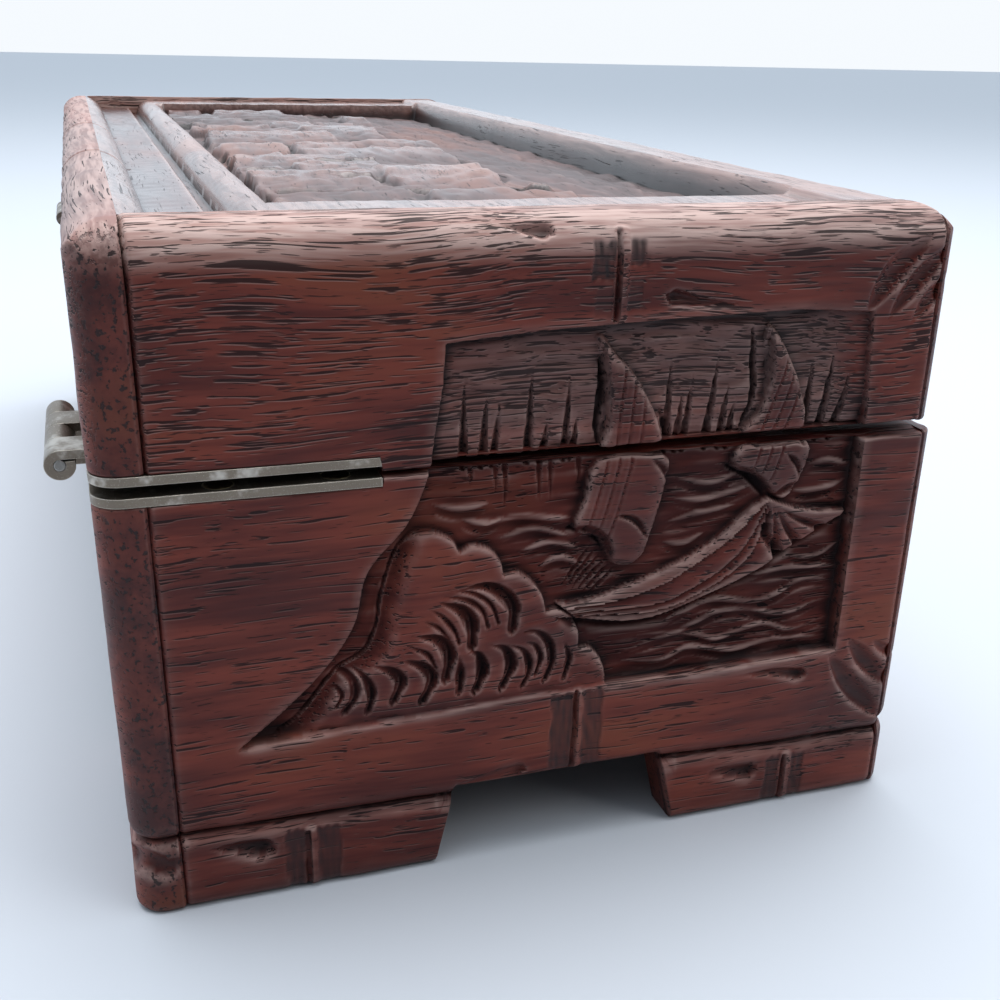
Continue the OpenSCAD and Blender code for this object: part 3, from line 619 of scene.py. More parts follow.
def lid_top(x, u):
    """Height of the lid's top edge: the crest, less the round-overs of the ends and the front, which are
    added as the cube root of the sum of their cubes, and less the fall of the bamboo rail's circle."""
    ends = edge_drop(np.minimum(x, CASE_L - x), END_EDGE_R)
    front = edge_drop(LID_D - u, FRONT_EDGE_R)
    side = np.clip(np.abs(u - RAIL_W / 2), 0, RAIL_R - 0.01)
    rail = np.where(u < RAIL_W / 2, RAIL_R - np.sqrt(RAIL_R**2 - side**2), 0)
    return CREST - np.cbrt(ends**3 + front**3 + rail**3)


def skin_point(core, way, lid):
    """Where rays from the core in the given directions leave the box, by 26 halvings of a search range."""
    low = np.zeros(core.shape[:-1])
    high = np.full(low.shape, 16.0)
    for _ in range(26):
        t = (low + high) / 2
        x, u, z = np.moveaxis(core + t[..., None] * way, -1, 0)
        out = beyond_plan(x, u, LID_D if lid else CASE_D)
        if lid:
            out = np.maximum(out, z - lid_top(x, u))
        low = np.where(out < 0, t, low)
        high = np.where(out < 0, high, t)
    return core + low[..., None] * way


# %% [markdown]
# The mesh maker takes a grid of points whose rows run right round the board, outer face first. It joins
# neighbours with four-sided faces, closes the two sides, merges points that fall together and turns all
# faces outwards. With it go four masks as one colour attribute: painted shade in hollows, wear with
# painted highlight, stained pads, and the sunk ground with its painted shade.

# %% From grid to board
NO_RIM = 9.0
pieces = {}


def softened(values, reach):
    """Running mean over a square of cells, twice, with the border repeated."""
    for _ in range(2):
        for axis in (0, 1):
            pad = [(0, 0), (0, 0)]
            pad[axis] = (reach + 1, reach)
            total = np.cumsum(np.pad(values, pad, mode="edge"), axis=axis)
            size = total.shape[axis]
            upper = np.take(total, range(2 * reach + 1, size), axis=axis)
            lower = np.take(total, range(0, size - 2 * reach - 1), axis=axis)
            values = (upper - lower) / (2 * reach + 1)
    return values


def carving_masks(depth, pads, ground, reach=4, from_rim=NO_RIM):
    """Painted hollow shade, and wear with painted highlight, from how far the depth lies below or above its
    own soft mean. Proud edges and the rim are lightened as wear, most where the surface turns upwards, which
    is painted highlight; on the lid's ground, where the ground's mask is below 0, the lightening is painted
    light too. The other two are as given."""
    relief = depth - softened(depth, reach)
    fine = depth - softened(depth, 1)
    # hollow is painted shade: recesses below their soft mean turn near black in the wood's colour.
    hollow = np.clip((relief - 0.08) / 0.7, 0, 1)
    # faces_up makes the lightening follow the light from above: painted highlight on upward-facing edges.
    faces_up = softened(np.clip(np.gradient(depth, axis=0) / 0.10, 0, 1), 1)
    proud = np.clip((-relief - 0.04) / 0.45, 0, 1) + 0.6 * np.clip((-fine - 0.01) / 0.10, 0, 1)
    wear_and_highlight = proud * (0.2 + 0.8 * faces_up) + 0.55 * (1 - smooth(from_rim / 0.9))
    # On the lid the ground's mask is below 0, and its carved ground is lightened as painted light.
    wear_and_highlight = wear_and_highlight + 0.45 * np.clip(-ground, 0, 1)
    ground = np.clip(ground, 0, 1)
    return np.stack([hollow, np.clip(wear_and_highlight, 0, 1), pads, ground], axis=-1)


def board(name, grid, masks, body, node, slot):
    """Makes a closed mesh of a grid of rows that run round the board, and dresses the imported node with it."""
    rows, columns = grid.shape[:2]
    index = np.arange(rows * columns).reshape(rows, columns)
    a, b = index[:, :-1], index[:, 1:]
    c, d = np.roll(b, -1, axis=0), np.roll(a, -1, axis=0)
    faces = np.stack([a, b, c, d], axis=-1).reshape(-1, 4).tolist()
    faces += [index[:, 0].tolist(), index[::-1, -1].tolist()]
    mesh = bpy.data.meshes.new(name)
    mesh.from_pydata(to_frame(*np.moveaxis(grid, -1, 0)).reshape(-1, 3), [], faces)
    paint = mesh.attributes.new("carving", "FLOAT_COLOR", "POINT")
    paint.data.foreach_set("color", masks.astype(np.float32).ravel())
    work = bmesh.new()
    work.from_mesh(mesh)
    bmesh.ops.remove_doubles(work, verts=work.verts, dist=2e-6)
    bmesh.ops.recalc_face_normals(work, faces=work.faces)
    open_edges = sum(not e.is_manifold for e in work.edges)
    work.to_mesh(mesh)
    work.free()
    mesh.shade_smooth()
    mesh.set_sharp_from_angle(angle=np.radians(58))
    piece = bpy.data.objects.new(name, mesh)
    bpy.context.scene.collection.objects.link(piece)
    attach(piece, body)
    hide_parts(node)
    pieces[name] = piece
    print(f"{name}: {len(mesh.polygons)} faces, {open_edges} open edges")
    return piece


# %% [markdown]
# A board is one closed skin. After its outer face come rows that lead over the rim, down the inner side
# and under the foot, back to where the face began. Where a hinge leaf is let in, the last few millimetres
# of the face are squeezed down to its seat.

# %% Rows that close a board
SQUEEZE = 3.0


def squeezed(z, old, new):
    """Heights moved so that the end row goes from its old height to its new one, and the rows within
    three millimetres of it share the change."""
    return z + np.clip(1 - np.abs(z - old) / SQUEEZE, 0, None) * (new - old)


def bent_over(z_line, rows):
    """Rows up a face and then over its rounded top: each row's starting height and its angle."""
    lift = np.concatenate([z_line, np.full(rows, z_line[-1])])
    fan = np.concatenate([np.zeros(len(z_line)), np.linspace(0, 90, rows + 1)[1:]])
    return lift, np.radians(fan)


def closed(outer, masks, *groups):
    """The outer face's grid with the rows of the board's other sides added, which carry no marks."""
    grid = np.concatenate([outer, *(np.array(rows) for rows in groups)])
    return grid, np.concatenate([masks, np.zeros((len(grid) - len(outer),) + masks.shape[1:])])


# %% [markdown]
# An end board stands between the long boards. Its rows start under the foot, climb the carved face and
# close over the rim, where the hinge leaf lies in a step. For the lid the rows bend over the rounded
# crest instead. The feet come from squeezing the lowest rows up to the underside of the arch.

# %% End boards
BACK_FOOT = 46.2
FRONT_FOOT = 87.7
FOLD = 16.0
END_U = CASE_D - LAP
LID_END_U = LID_D - LAP
RIM_EDGE_R = 0.55
LID_EDGE_R = 0.5


def underside(place, a, b):
    """Height of the boards' underside: the floor at the feet, the arch's top between them, and a straight
    slant from one to the other that starts at a and ends at b."""
    return ARCH_H * np.clip(np.minimum(place - a, b - place) / FOOT_SLANT, 0, 1)


def end_board(name, outer, masks, closing, mirrored, body, node):
    """An end's grid of outer face and closing rows, turned over for the right end."""
    grid, masks = closed(outer, masks, closing)
    if mirrored:
        grid[..., 0] = CASE_L - grid[..., 0]
    return board(name, grid, masks, body, node, "end_wood")


def body_end(name, node, mirrored, seed):
    """The body's end board: columns across it, rows up its face, over its rim and down inside."""
    u_line = spaced([BOARD_T, 10, 26, 70, 118, END_U], [0.4, 0.45, 0.245, 0.3, 0.4])
    z_line = spaced([0, 2.0, 9.5, 14.5, FOLD, 28, 58, 65.6, RIM],
                    [0.3, 0.75, 0.25, 0.4, 0.45, 0.24, 0.3, 0.16])
    z, u = np.meshgrid(z_line, u_line, indexing="ij")
    low = underside(u, BACK_FOOT, FRONT_FOOT)
    z = np.where(z < FOLD, low + (FOLD - low) * z / FOLD, z)
    leaf = u_line < LEAF_END_L
    seat = np.where(leaf, RIM - LEAF_T, RIM)
    z = squeezed(z, RIM, seat)
    depth, ground, pads = end_depth(u, z, seed)
    rim_wave = 0.16 * np.abs(uneven(u, 0 * u, 9, seed + 5)) + 0.3 * smooth((u - 70) / 45)
    rim_wave = rim_wave * smooth((z - RIM + 2) / 2) * ~leaf
    round_over = edge_drop(z - low, 2.0) + edge_drop(seat - z, RIM_EDGE_R)
    joint = 0.55 * (1 - smooth((u - BOARD_T) / 0.7)) + 0.35 * (1 - smooth((END_U - u) / 0.6))
    depth = depth + round_over + joint
    masks = carving_masks(depth, pads, ground, from_rim=np.where(leaf, NO_RIM, RIM - z))
    outer = joined(depth + edge_drop(CASE_D - u, CORNER_R), u, z - rim_wave)
    rim = [(2.0, outer[-1, :, 2]), (4.0, seat), (LEAF_W, seat), (LEAF_W + 0.05, RIM), (END_T, RIM)]
    inside_rows = [(END_T, RIM + (low[0] - RIM) * share) for share in np.linspace(0, 1, 9)[1:]]
    under = [(x, low[0]) for x in (6.0, 4.0, 2.5)]
    closing = [joined(x, u_line, height) for x, height in rim + inside_rows + under]
    return end_board(name, outer, masks, closing, mirrored, "case", node)


def lid_end(name, node, mirrored, seed):
    """The lid's end board: the rows run up the face, bend over the crest and go down inside."""
    u_line = spaced([BOARD_T, 10, 44, 118, LID_END_U], [0.3, 0.36, 0.27, 0.36])
    lift, fan = bent_over(spaced([LID_Z, 69.4, CREST - END_EDGE_R], [0.16, 0.27]), 46)
    z0, u = np.meshgrid(lift, u_line, indexing="ij")
    angle = np.repeat(fan[:, None], len(u_line), axis=1)
    leaf = u_line < LEAF_END_L
    seat = np.where(leaf, LID_Z + LEAF_T, LID_Z)
    z0 = squeezed(z0, LID_Z, seat)
    way = joined(-np.cos(angle), 0.0, np.sin(angle))
    outer = skin_point(joined(END_T, u, z0), way, lid=True)
    over = outer[..., 0] * smooth(angle / 0.4)
    depth, ground, pads = end_depth(u, outer[..., 2] + 0.5 * over, seed)
    joint = 0.9 * (1 - smooth((u - BOARD_T) / 0.8)) + 0.4 * (1 - smooth((LID_END_U - u) / 0.6))
    depth = depth + edge_drop(z0 - seat, LID_EDGE_R) * (angle == 0) + joint
    depth *= 1 - 0.6 * smooth((angle - 1.3) / 0.27)
    outer = outer - depth[..., None] * way
    wave = 0.3 * smooth((u - 75) / 45) - 0.85 * (1 - smooth((u - 44) / 55))
    wave = wave + 0.16 * np.abs(uneven(u, 0 * u, 8, seed + 5))
    outer[..., 2] += wave * (1 - smooth((z0 - LID_Z) / 5)) * ~leaf
    masks = carving_masks(depth, pads, ground)
    top_row = outer[-1, :, 2]
    inside_rows = [(END_T, top_row + (LID_Z - top_row) * share) for share in np.linspace(0, 1, 9)[1:]]
    seats = [(LEAF_W + 0.05, LID_Z), (LEAF_W, seat), (3.0, seat), (1.8, seat)]
    closing = [joined(x, u_line, height) for x, height in inside_rows + seats]
    return end_board(name, outer, masks, closing, mirrored, "lid", node)


for name, node, mirrored, seed in (("left", "left_end", False, 3), ("right", "right_end", True, 91)):
    body_end(f"body_{name}_end_carved", f"body_{node}", mirrored, seed)
    lid_end(f"lid_{name}_end_carved", f"lid_{node}", mirrored, seed)

# %% [markdown]
# The long boards run past the ends and carry the rounded corners. Their columns start at the joint on the
# end of the box, fan round the corner and go along the face to the other end. The front's field repeats
# the harbour scene with two junks, and its corners lap over the end boards; the back is plain, with the
# plinth's hollow only.

# %% The front's picture
FRONT_FIELD = [(16.2, 28.6), (15.8, 60.0), (16.4, 86.0), (80.0, 86.7), (150.0, 86.2), (220.0, 86.8),
               (283.8, 86.2), (284.2, 50.0), (283.6, 28.4), (200.0, 28.9), (100.0, 28.3)]
FRONT_JUNKS = (22, 112)
FRONT_HILL = -6
FRONT_JOINTS = (112.5, 187.5)
FOOT_JOINTS = (27.0, 273.0)
PAD_HEIGHTS = [(FRONT_JOINTS, ((14.0, 28.4), (87.0, 98.4))), (FOOT_JOINTS, ((-1.0, 11.0),))]
FRONT_PADS = [(x + side * 2.4 - 1.7, x + side * 2.4 + 1.7, z0, z1, 0.85)
              for places, heights in PAD_HEIGHTS for x in places for side in (-1, 1) for z0, z1 in heights]
LONG_A, LONG_B = 54.0, 246.0


def front_picture(x, z, seed):
    """Depth of the front's field: the hill at each side, two junks between them, reeds and water."""
    border = inside(x, z, np.array(FRONT_FIELD, float))
    depth = chiselled_ground(x, z, (20, 44), (270, 85), 70, seed)
    for shift in (-38, 0, 50, 118, 160):
        ripples(depth, x - shift, z, RIPPLES)
    for shift in (-30, 28, 96, 132, 164):
        reeds(depth, x - shift, z)
    hill_with_leaves(depth, x - FRONT_HILL, z, seed)
    hill_with_leaves(depth, CASE_L - FRONT_HILL - x, z, seed + 30)
    for place in FRONT_JUNKS:
        junk(depth, x - place, z)
    return depth * smooth(0.5 + border / 0.55), border


def front_depth(x, z, seed):
    """Depth of everything cut into the front, with the masks of its ground and stained pads."""
    picture, border = front_picture(x, z, seed)
    depth = picture + 0.07 * uneven(x, z, 24, seed + 3) + 0.03 * uneven(x, z, 7, seed + 4)
    depth += plinth_depth(z, 11.4 + 0.4 * np.sin(x / 31))
    pads = np.zeros(x.shape)
    for pad in FRONT_PADS:
        pads = np.maximum(pads, pad_shape(x, z, pad) * (border < 0.3))
    depth += 0.32 * pads
    for joint in FRONT_JOINTS:
        gouge(depth, x, z, [(joint, 28.2), (joint, 13.8)], 0.5, 0.8, "even")
        gouge(depth, x, z, [(joint, 99.6), (joint, 87.0)], 0.5, 0.8, "even")
    for joint in FOOT_JOINTS:
        gouge(depth, x, z, [(joint, 10.4), (joint, -1.0)], 0.5, 0.8, "even")
    for side in (0, 1):
        across = CASE_L - x if side else x
        for points, width, deep in MITRES:
            gouge(depth, across, z, [(CASE_D - u, v) for u, v in points], width, deep, lean=0.2)
        for points, width, deep in BUDS[1:]:
            moved = [(CASE_D - u + 15, v) for u, v in points]
            gouge(depth, across, z, moved, width, deep, "wedge", lean=0.25)
    # The ground mask grows with the depth of the cut: painted shade as well as the ground's duller tone.
    return depth, smooth(border / 1.2) * smooth((picture - 0.9) / 1.2), pads


def back_depth(x, z, seed):
    """Depth of the plain back: the plinth's hollow and a little unevenness."""
    depth = 0.08 * uneven(x, z, 26, seed) + 0.03 * uneven(x, z, 8, seed + 1)
    depth += plinth_depth(z, 12.0 + 0.4 * np.sin(x / 37)) * smooth(x + 5)
    return depth, 0 * x, 0 * x


# %% [markdown]
# Both long boards share their columns, their seats for the hinge leaves and the way their inner side is
# drawn, so each of these is a helper. The body's boards then only add feet, and the lid's a rounded top.

# %% Long boards
STEP_WALL = 0.04
RAIL_RINGS = (95.0, 170.0)


def plan_columns(front, depth, fine):
    """A long board's columns in plan: the core point and outward direction of each, and the place where it
    meets the board's inner side. Corners fan from one core point; the rest point straight out."""
    plane = depth - LAP if front else BOARD_T
    core_x = CORNER_R + 0.4 if front else 6.05
    face = 1 if front else -1
    turn = np.radians(spaced([0, 90], [2.0 if front else 1.7]))[:-1]
    step_x, half = END_T if front else LEAF_BACK_L, STEP_WALL / 2
    stops = [core_x, step_x - half, step_x + half] + ([46, CASE_L / 2] if front else [CASE_L / 2])
    straight = spaced(stops, [0.4, STEP_WALL, 0.5, fine] if front else [0.5, STEP_WALL, fine])
    straight = np.concatenate([straight, CASE_L - straight[-2::-1]])
    start = 0.35 if front else 0.0
    inner_x = start + (core_x - start) * turn / (np.pi / 2)
    inner_x = np.concatenate([inner_x, straight, CASE_L - inner_x[::-1]])
    core_at = np.concatenate([0 * turn + core_x, straight, CASE_L - core_x - 0 * turn])
    core = joined(core_at, plane + 0.06 * face)
    way = np.concatenate([joined(-np.cos(turn), face * np.sin(turn)), joined(0 * straight, face),
                          joined(np.cos(turn[::-1]), face * np.sin(turn[::-1]))])
    deep_part = front & (inner_x > END_T) & (inner_x < CASE_L - END_T)
    return core, way, joined(inner_x, np.where(deep_part, depth - BOARD_T, plane))


def leaf_seats(front, x, flat, sunk):
    """Where a long board carries a hinge leaf: the columns over a leaf, the columns on the board's ends,
    and the heights of the rim at its outer and at its inner side."""
    from_end = np.minimum(x, CASE_L - x)
    leaf = (from_end < LEAF_BACK_L) & (not front)
    edge = from_end < LEAF_W + STEP_WALL
    return leaf, edge, np.where(leaf, sunk, flat), np.where(leaf & edge, sunk, flat)


def inner_side(outer, inner, edge, heights):
    """Every fourth row of a board's inner side, from the top down. On the board's ends the columns keep
    their share of the way between the outer face's two ends."""
    some = np.unique(np.concatenate([np.arange(0, len(outer) - 1, 4), [len(outer) - 1]]))[::-1]
    left, right = outer[:, :1, 0], outer[:, -1:, 0]
    share = (inner[:, 0] - inner[0, 0]) / (inner[-1, 0] - inner[0, 0])
    return joined(np.where(edge, left + (right - left) * share, inner[:, 0]), inner[:, 1], heights)[some]


def rim_rows(out_row, in_row, front, edge, seat, lip):
    """Three rows across the flat rim between a board's outer and inner side, with the leaf's step."""
    step_u = in_row[:, 1] + STEP_WALL if front else np.where(edge, in_row[:, 1] - STEP_WALL, LEAF_W)
    middle_x = np.where(edge, (out_row[:, 0] + in_row[:, 0]) / 2, out_row[:, 0])
    return [joined(middle_x, (out_row[:, 1] + step_u) / 2, seat),
            joined(in_row[:, 0], step_u, seat), joined(in_row[:, 0], step_u, lip)]


def long_body(name, node, front, seed):
    """A long board of the body: rows up its outer face, over the rim, down inside and under the feet."""
    core, way, inner = plan_columns(front, CASE_D, 0.575 if front else 1.0)
    z_line = spaced([0, 2.0, 9.5, 14.5, FOLD, 28, 65.6, RIM],
                    [0.4, 0.9, 0.35, 0.6, 0.7, 0.54 if front else 0.7, 0.22])
    z = np.repeat(z_line[:, None], len(core), axis=1)
    low = underside(inner[:, 0], LONG_A, LONG_B)
    z = np.where(z < FOLD, low + (FOLD - low) * z / FOLD, z)
    leaf, edge, seat, lip = leaf_seats(front, inner[:, 0], RIM, RIM - LEAF_T)
    z_out = squeezed(z, RIM, seat)
    ways = joined(way[:, 0], way[:, 1], 0 * z_out)
    outer = skin_point(joined(core[:, 0], core[:, 1], z_out), ways, lid=False)
    depth, ground, pads = (front_depth if front else back_depth)(outer[..., 0], z_out, seed)
    turned = np.abs(way[:, 0])
    corner = 0.75 * smooth(turned / 0.5)
    depth = depth * (1 - corner) + corner * plinth_depth(z_out, 12.0)
    depth += edge_drop(z - low, 1.3) + edge_drop(seat - z_out, RIM_EDGE_R)
    depth += 0.35 * (1 - smooth((1 - turned) / 0.002))
    round_x = outer[..., 0] + outer[..., 1]
    if not front:
        gouge(depth, round_x, z_out, [(1.0, 12.0), (4.2, 8.6), (7.0, 9.6)], 1.9, 1.2)
    wave = 0.2 * np.abs(uneven(round_x, 0 * z, 9, seed + 5)) * smooth((z - RIM + 2) / 2) * ~leaf
    outer = outer - depth[..., None] * ways
    outer[..., 2] -= wave
    masks = carving_masks(depth, pads, ground, 2)
    inside_rows = inner_side(outer, inner, edge, squeezed(z, RIM, lip))
    rim = rim_rows(outer[-1], inside_rows[0], front, edge, seat, lip)
    under = [inside_rows[-1] + (outer[0] - inside_rows[-1]) * share for share in (0.3, 0.6, 0.85)]
    return board(name, *closed(outer, masks, rim, inside_rows, under), "case", node, "side_wood")


def long_lid(name, node, front, seed):
    """A long board of the lid: the same columns, with rows that bend over its rounded top."""
    core, way, inner = plan_columns(front, LID_D, 0.5 if front else 0.9)
    core_z = CREST - (8.6 if front else 8.0)
    lift, fan = bent_over(spaced([LID_Z, 69.6, core_z], [0.2, 0.5 if front else 0.6]), 40)
    z0 = np.repeat(lift[:, None], len(core), axis=1)
    angle = np.repeat(fan[:, None], len(core), axis=1)
    leaf, edge, seat, lip = leaf_seats(front, inner[:, 0], LID_Z, LID_Z + LEAF_T)
    z_out = squeezed(z0, LID_Z, seat)
    ways = joined(way[:, 0] * np.cos(angle), way[:, 1] * np.cos(angle), np.sin(angle))
    outer = skin_point(joined(core[:, 0], core[:, 1], z_out), ways, lid=True)
    x, z = outer[..., 0], outer[..., 2]
    depth, ground, pads = (front_depth if front else back_depth)(x, z + 2 * smooth(angle / 1.5), seed)
    turned = np.abs(way[:, 0])
    depth = depth * (1 - 0.8 * smooth(turned / 0.5))
    depth += edge_drop(z_out - seat, LID_EDGE_R) * (angle == 0)
    depth += 0.35 * (1 - smooth((1 - turned) / 0.002)) * (angle < 1)
    for ring in () if front else RAIL_RINGS:
        groove = 0.75 * np.exp(-((x - ring) / 0.8) ** 2) * smooth(angle / 0.5)
        depth += groove - 0.2 * np.exp(-((x - ring) / 3.0) ** 2)
    outer = outer - depth[..., None] * ways
    outer[..., 2] += 0.14 * np.abs(uneven(x, 0 * x, 8, seed + 5)) * (1 - smooth((z0 - LID_Z) / 2)) * ~leaf
    masks = carving_masks(depth, pads, ground, 2)
    rise = np.clip((outer[:, 0, 2] - core_z) / (outer[-1, 0, 2] - core_z), 0, 1)
    z_in = np.where(angle > 0, outer[:, :1, 2], squeezed(z0, LID_Z, lip))
    z_in = z_in + rise[:, None] * (outer[-1, :, 2] - outer[-1, 0, 2])
    inside_rows = inner_side(outer, inner, edge, z_in)
    rim = rim_rows(outer[0], inside_rows[-1], front, edge, seat, lip)[::-1]
    return board(name, *closed(outer, masks, inside_rows, rim), "lid", node, "side_wood")


long_body("body_front_carved", "body_front_board", True, 21)
long_body("body_back_plain", "body_back_board", False, 31)
long_lid("lid_front_carved", "lid_front_board", True, 21)
long_lid("lid_back_rail", "lid_back_board", False, 41)

# %% [markdown]
# The lid's panel is one carved slab. Its top is a height for each place in plan: a profile across the
# box for the bamboo rail, the strip, the groove and the round moulding, flat bands at the ends, the front
# rail, and between them a sunk field with a layered landscape.

# %% The lid's panel
GROUND_Z = 95.04
CEILING_Z = 91.04
STRIP_Z = 98.34
STRIP_END = 20.0
GROOVE_END = 22.6
BEAD_R = 3.75
BEAD_Z = 100.54
BAND_END = 27.0
BAND_Z = 100.64
FRONT_RAIL_U = 111.8
PANEL_END_U = LID_D - BOARD_T
HILL_FIRST = 36.1
HILL_PITCH = 15.0
HILL_ROWS = 4
HILL_RISE = 3.6
HILL_SLOPE = 6.0
HILL_SWAY = 2.6
HILL_RIPPLE = 1.4
CLIFFS = [(222, 84.0, 4.0, 16, 4.2), (172, 75.0, 6.0, 20, 4.2), (156, 50.0, 16.0, 24, 4.3),
          (138, 76.0, 6.0, 18, 4.1), (126, 41.0, 8.0, 18, 4.3), (108, 66.0, 17.0, 22, 4.2),
          (95, 38.0, 6.0, 18, 4.4), (78, 52.0, 9.0, 22, 4.2), (64, 42.0, 8.0, 20, 4.2),
          (61, 68.0, 11.0, 24, 4.9), (46, 50.0, 8.0, 14, 3.0)]


def panel_height(x, u):
    """Height of the panel's top before carving: the profile across the box, with the end bands and front
    rail laid over it and every edge eased by a soft step."""
    rail = RAIL_Z + np.sqrt(np.clip(RAIL_R**2 - (u - RAIL_W / 2) ** 2, 0, None))
    strip = STRIP_Z - 1.8 * smooth((u - STRIP_END) / 0.8) * smooth((GROOVE_END + 0.5 - u) / 0.6)
    bead_u = GROOVE_END + BEAD_R
    bead = BEAD_Z - BEAD_R + np.sqrt(np.clip(BEAD_R**2 - (u - bead_u) ** 2, 0, None))
    height = np.where(u < RAIL_W, np.maximum(rail, STRIP_Z), strip)
    height = np.where(u > GROOVE_END, np.where(u < bead_u + BEAD_R, bead, GROUND_Z), height)
    from_end = np.minimum(x, CASE_L - x)
    band = smooth((BAND_END - from_end) / 1.6) * smooth((u - bead_u) / 2.0)
    height = height * (1 - band) + BAND_Z * band
    front = smooth((u - FRONT_RAIL_U) / 1.8)
    return height * (1 - front) + (CREST - 0.05) * front


def crest_swing(row, x):
    """How far the crest of a row of hills swings towards the front: a long wave and a short one."""
    along_x = x - CASE_L / 2
    return (HILL_SWAY * np.sin(np.radians(4.3 * along_x + 97 * row))
            + HILL_RIPPLE * np.sin(np.radians(11.6 * along_x + 61 * row)))


def hill_rows(x, u):
    """Heights of the rows of hills: each falls towards the front from its crest to its foot."""
    height = np.full(x.shape, GROUND_Z)
    for row in range(HILL_ROWS):
        first = HILL_FIRST + row * HILL_PITCH
        into = u - first - crest_swing(row, x)
        foot = first + HILL_PITCH + 2 * (HILL_SWAY + HILL_RIPPLE) + crest_swing(row + 1, x)
        slope = GROUND_Z + HILL_RISE - np.tan(np.radians(HILL_SLOPE)) * (u - first)
        keep = smooth(0.5 + into / 1.2) * smooth(0.5 + (foot - u) / 1.4)
        height = height * (1 - keep) + slope * keep
    return height


def cliff(height, x, u, place, half, length, rise, seed):
    """A clump that stands up towards the left end: a scalloped edge over a dark undercut, then a surface
    that goes on rising away from it."""
    near = (np.abs(u - place[1]) < half + 2) & (x > place[0] - 5) & (x < place[0] + length + 12)
    across, along_x = u[near] - place[1], x[near] - place[0]
    scallop = 0.7 * np.abs(np.sin(across / 2.4 + seed)) - 0.08 * across**2 / half
    into = along_x + scallop + 1.1 * uneven(across, 0.3 * along_x, 12, seed)
    side = smooth((half - np.abs(across) + 0.4 * np.sin(along_x / 2.2 + seed)) / 1.1)
    surface = GROUND_Z + rise * (0.6 + 0.4 * smooth(into / length))
    surface = surface + 0.18 * uneven(across, along_x, 7, seed + 1)
    keep = smooth(0.5 + into / 0.7) * side * smooth((length + 4 - into) / 4)
    height[near] -= 1.2 * np.exp(-((into + 1.3) / 1.1) ** 2) * side
    height[near] += keep * np.clip(surface - height[near], 0, None)


def panel_landscape(x, u, seed):
    """Heights of the sunk field: rows of hills, clumps of trees that overlap on them, and a flatter shore
    and water along the front."""
    height = 0.45 * hill_rows(x, u) + 0.55 * (GROUND_Z + 2.0) + 0.25 * uneven(x / 2, u, 9, seed)
    rng = np.random.default_rng(seed)
    for x0 in np.arange(262, 34, -6.5):
        at = (x0 + rng.uniform(-3, 3), rng.uniform(34, 84))
        half, length, rise = rng.uniform(5, 12), rng.uniform(12, 22), rng.uniform(2.9, 4.4)
        cliff(height, x, u, at, half, length, rise, int(rng.integers(1000)))
    for i, (x0, u0, half, length, rise) in enumerate(CLIFFS):
        cliff(height, x, u, (x0, u0), half, length, rise, 300 + i)
    gouge(height, x, u, [(60.0, 78.6), (57.0, 81.8)], 2.2, -2.6, "even")
    gouge(height, x, u, [(62.5, 81.6), (60.5, 83.2)], 1.6, 1.2, "even")
    for _ in range(26):
        at = rng.uniform((38, 88), (262, 109))
        gouge(height, x, u, [at, at + (rng.uniform(8, 16), rng.uniform(-0.8, 0.8))], 0.8, 0.3)
    return height


def lid_panel():
    """The panel's slab: rows across the box over its top, then back underneath."""
    x_line = spaced([END_T, BAND_END - 1, BAND_END + 1,
                     CASE_L - BAND_END - 1, CASE_L - BAND_END + 1, CASE_L - END_T],
                    [0.6, 0.3, 0.66, 0.3, 0.6])
    u_line = spaced([BOARD_T, RAIL_W, GROOVE_END, 31, FRONT_RAIL_U + 2, PANEL_END_U],
                    [0.3, 0.4, 0.4, 0.6, 0.6])
    u, x = np.meshgrid(u_line, x_line, indexing="ij")
    top = panel_height(x, u)
    field = np.minimum(np.minimum(x, CASE_L - x) - BAND_END,
                       np.minimum(u - GROOVE_END - 2 * BEAD_R, FRONT_RAIL_U - u))
    sunk = smooth(0.5 + field / 0.7)
    landscape = panel_landscape(x, u, 5)
    top = top * (1 - sunk) + np.minimum(landscape, CREST - 1.4) * sunk
    for ring in RAIL_RINGS:
        top -= 0.75 * np.exp(-((x - ring) / 0.8) ** 2) * (u < RAIL_W + 0.6)
    top += 0.06 * uneven(x, u, 30, 77) + 0.03 * uneven(x, u, 6, 78)
    # The ground mask grows as the field sinks: painted shade as well as the ground's duller tone.
    masks = carving_masks(-top, 0 * top, 0.9 * sunk * smooth((99.2 - top) / 2), 2)
    # Painted shade on the cliff faces that rise towards the far end, put in the hollow channel.
    painted_cliff_shade = smooth((softened(np.gradient(top, x_line, axis=1), 1) - 0.22) / 0.45) * sunk
    masks[..., 0] = np.maximum(masks[..., 0], 0.9 * painted_cliff_shade * smooth((100.0 - top) / 1.2))
    masks[..., 1] *= 1 - 0.7 * sunk
    rows = [(PANEL_END_U, 97.0), (PANEL_END_U, CEILING_Z), (70.0, CEILING_Z), (30.0, CEILING_Z),
            (BOARD_T, CEILING_Z), (BOARD_T, 96.0)]
    closing = [joined(x_line, row_u, row_z) for row_u, row_z in rows]
    grid, masks = closed(joined(x, u, top), masks, closing)
    return board("lid_panel_carved", grid, masks, "lid", "lid_top_panel", "top_wood")


lid_panel()

# %% [markdown]
# The wood is one shared group of nodes. It takes a place whose X runs along the grain and gives a colour,
# a roughness and a height. Everything long and thin comes from the same trick: noise squeezed across the
# grain and left long beside it, at three sizes, for the growth figure, the pores and the longer cracks.
# The masks that were painted while carving then darken hollows with painted shade, and lighten worn
# edges and those that face up, the latter as painted highlight.

# %% Short words for node trees
GRAIN_AXES = {"x": ("X", "Y", "Z"), "y": ("Y", "X", "Z")}


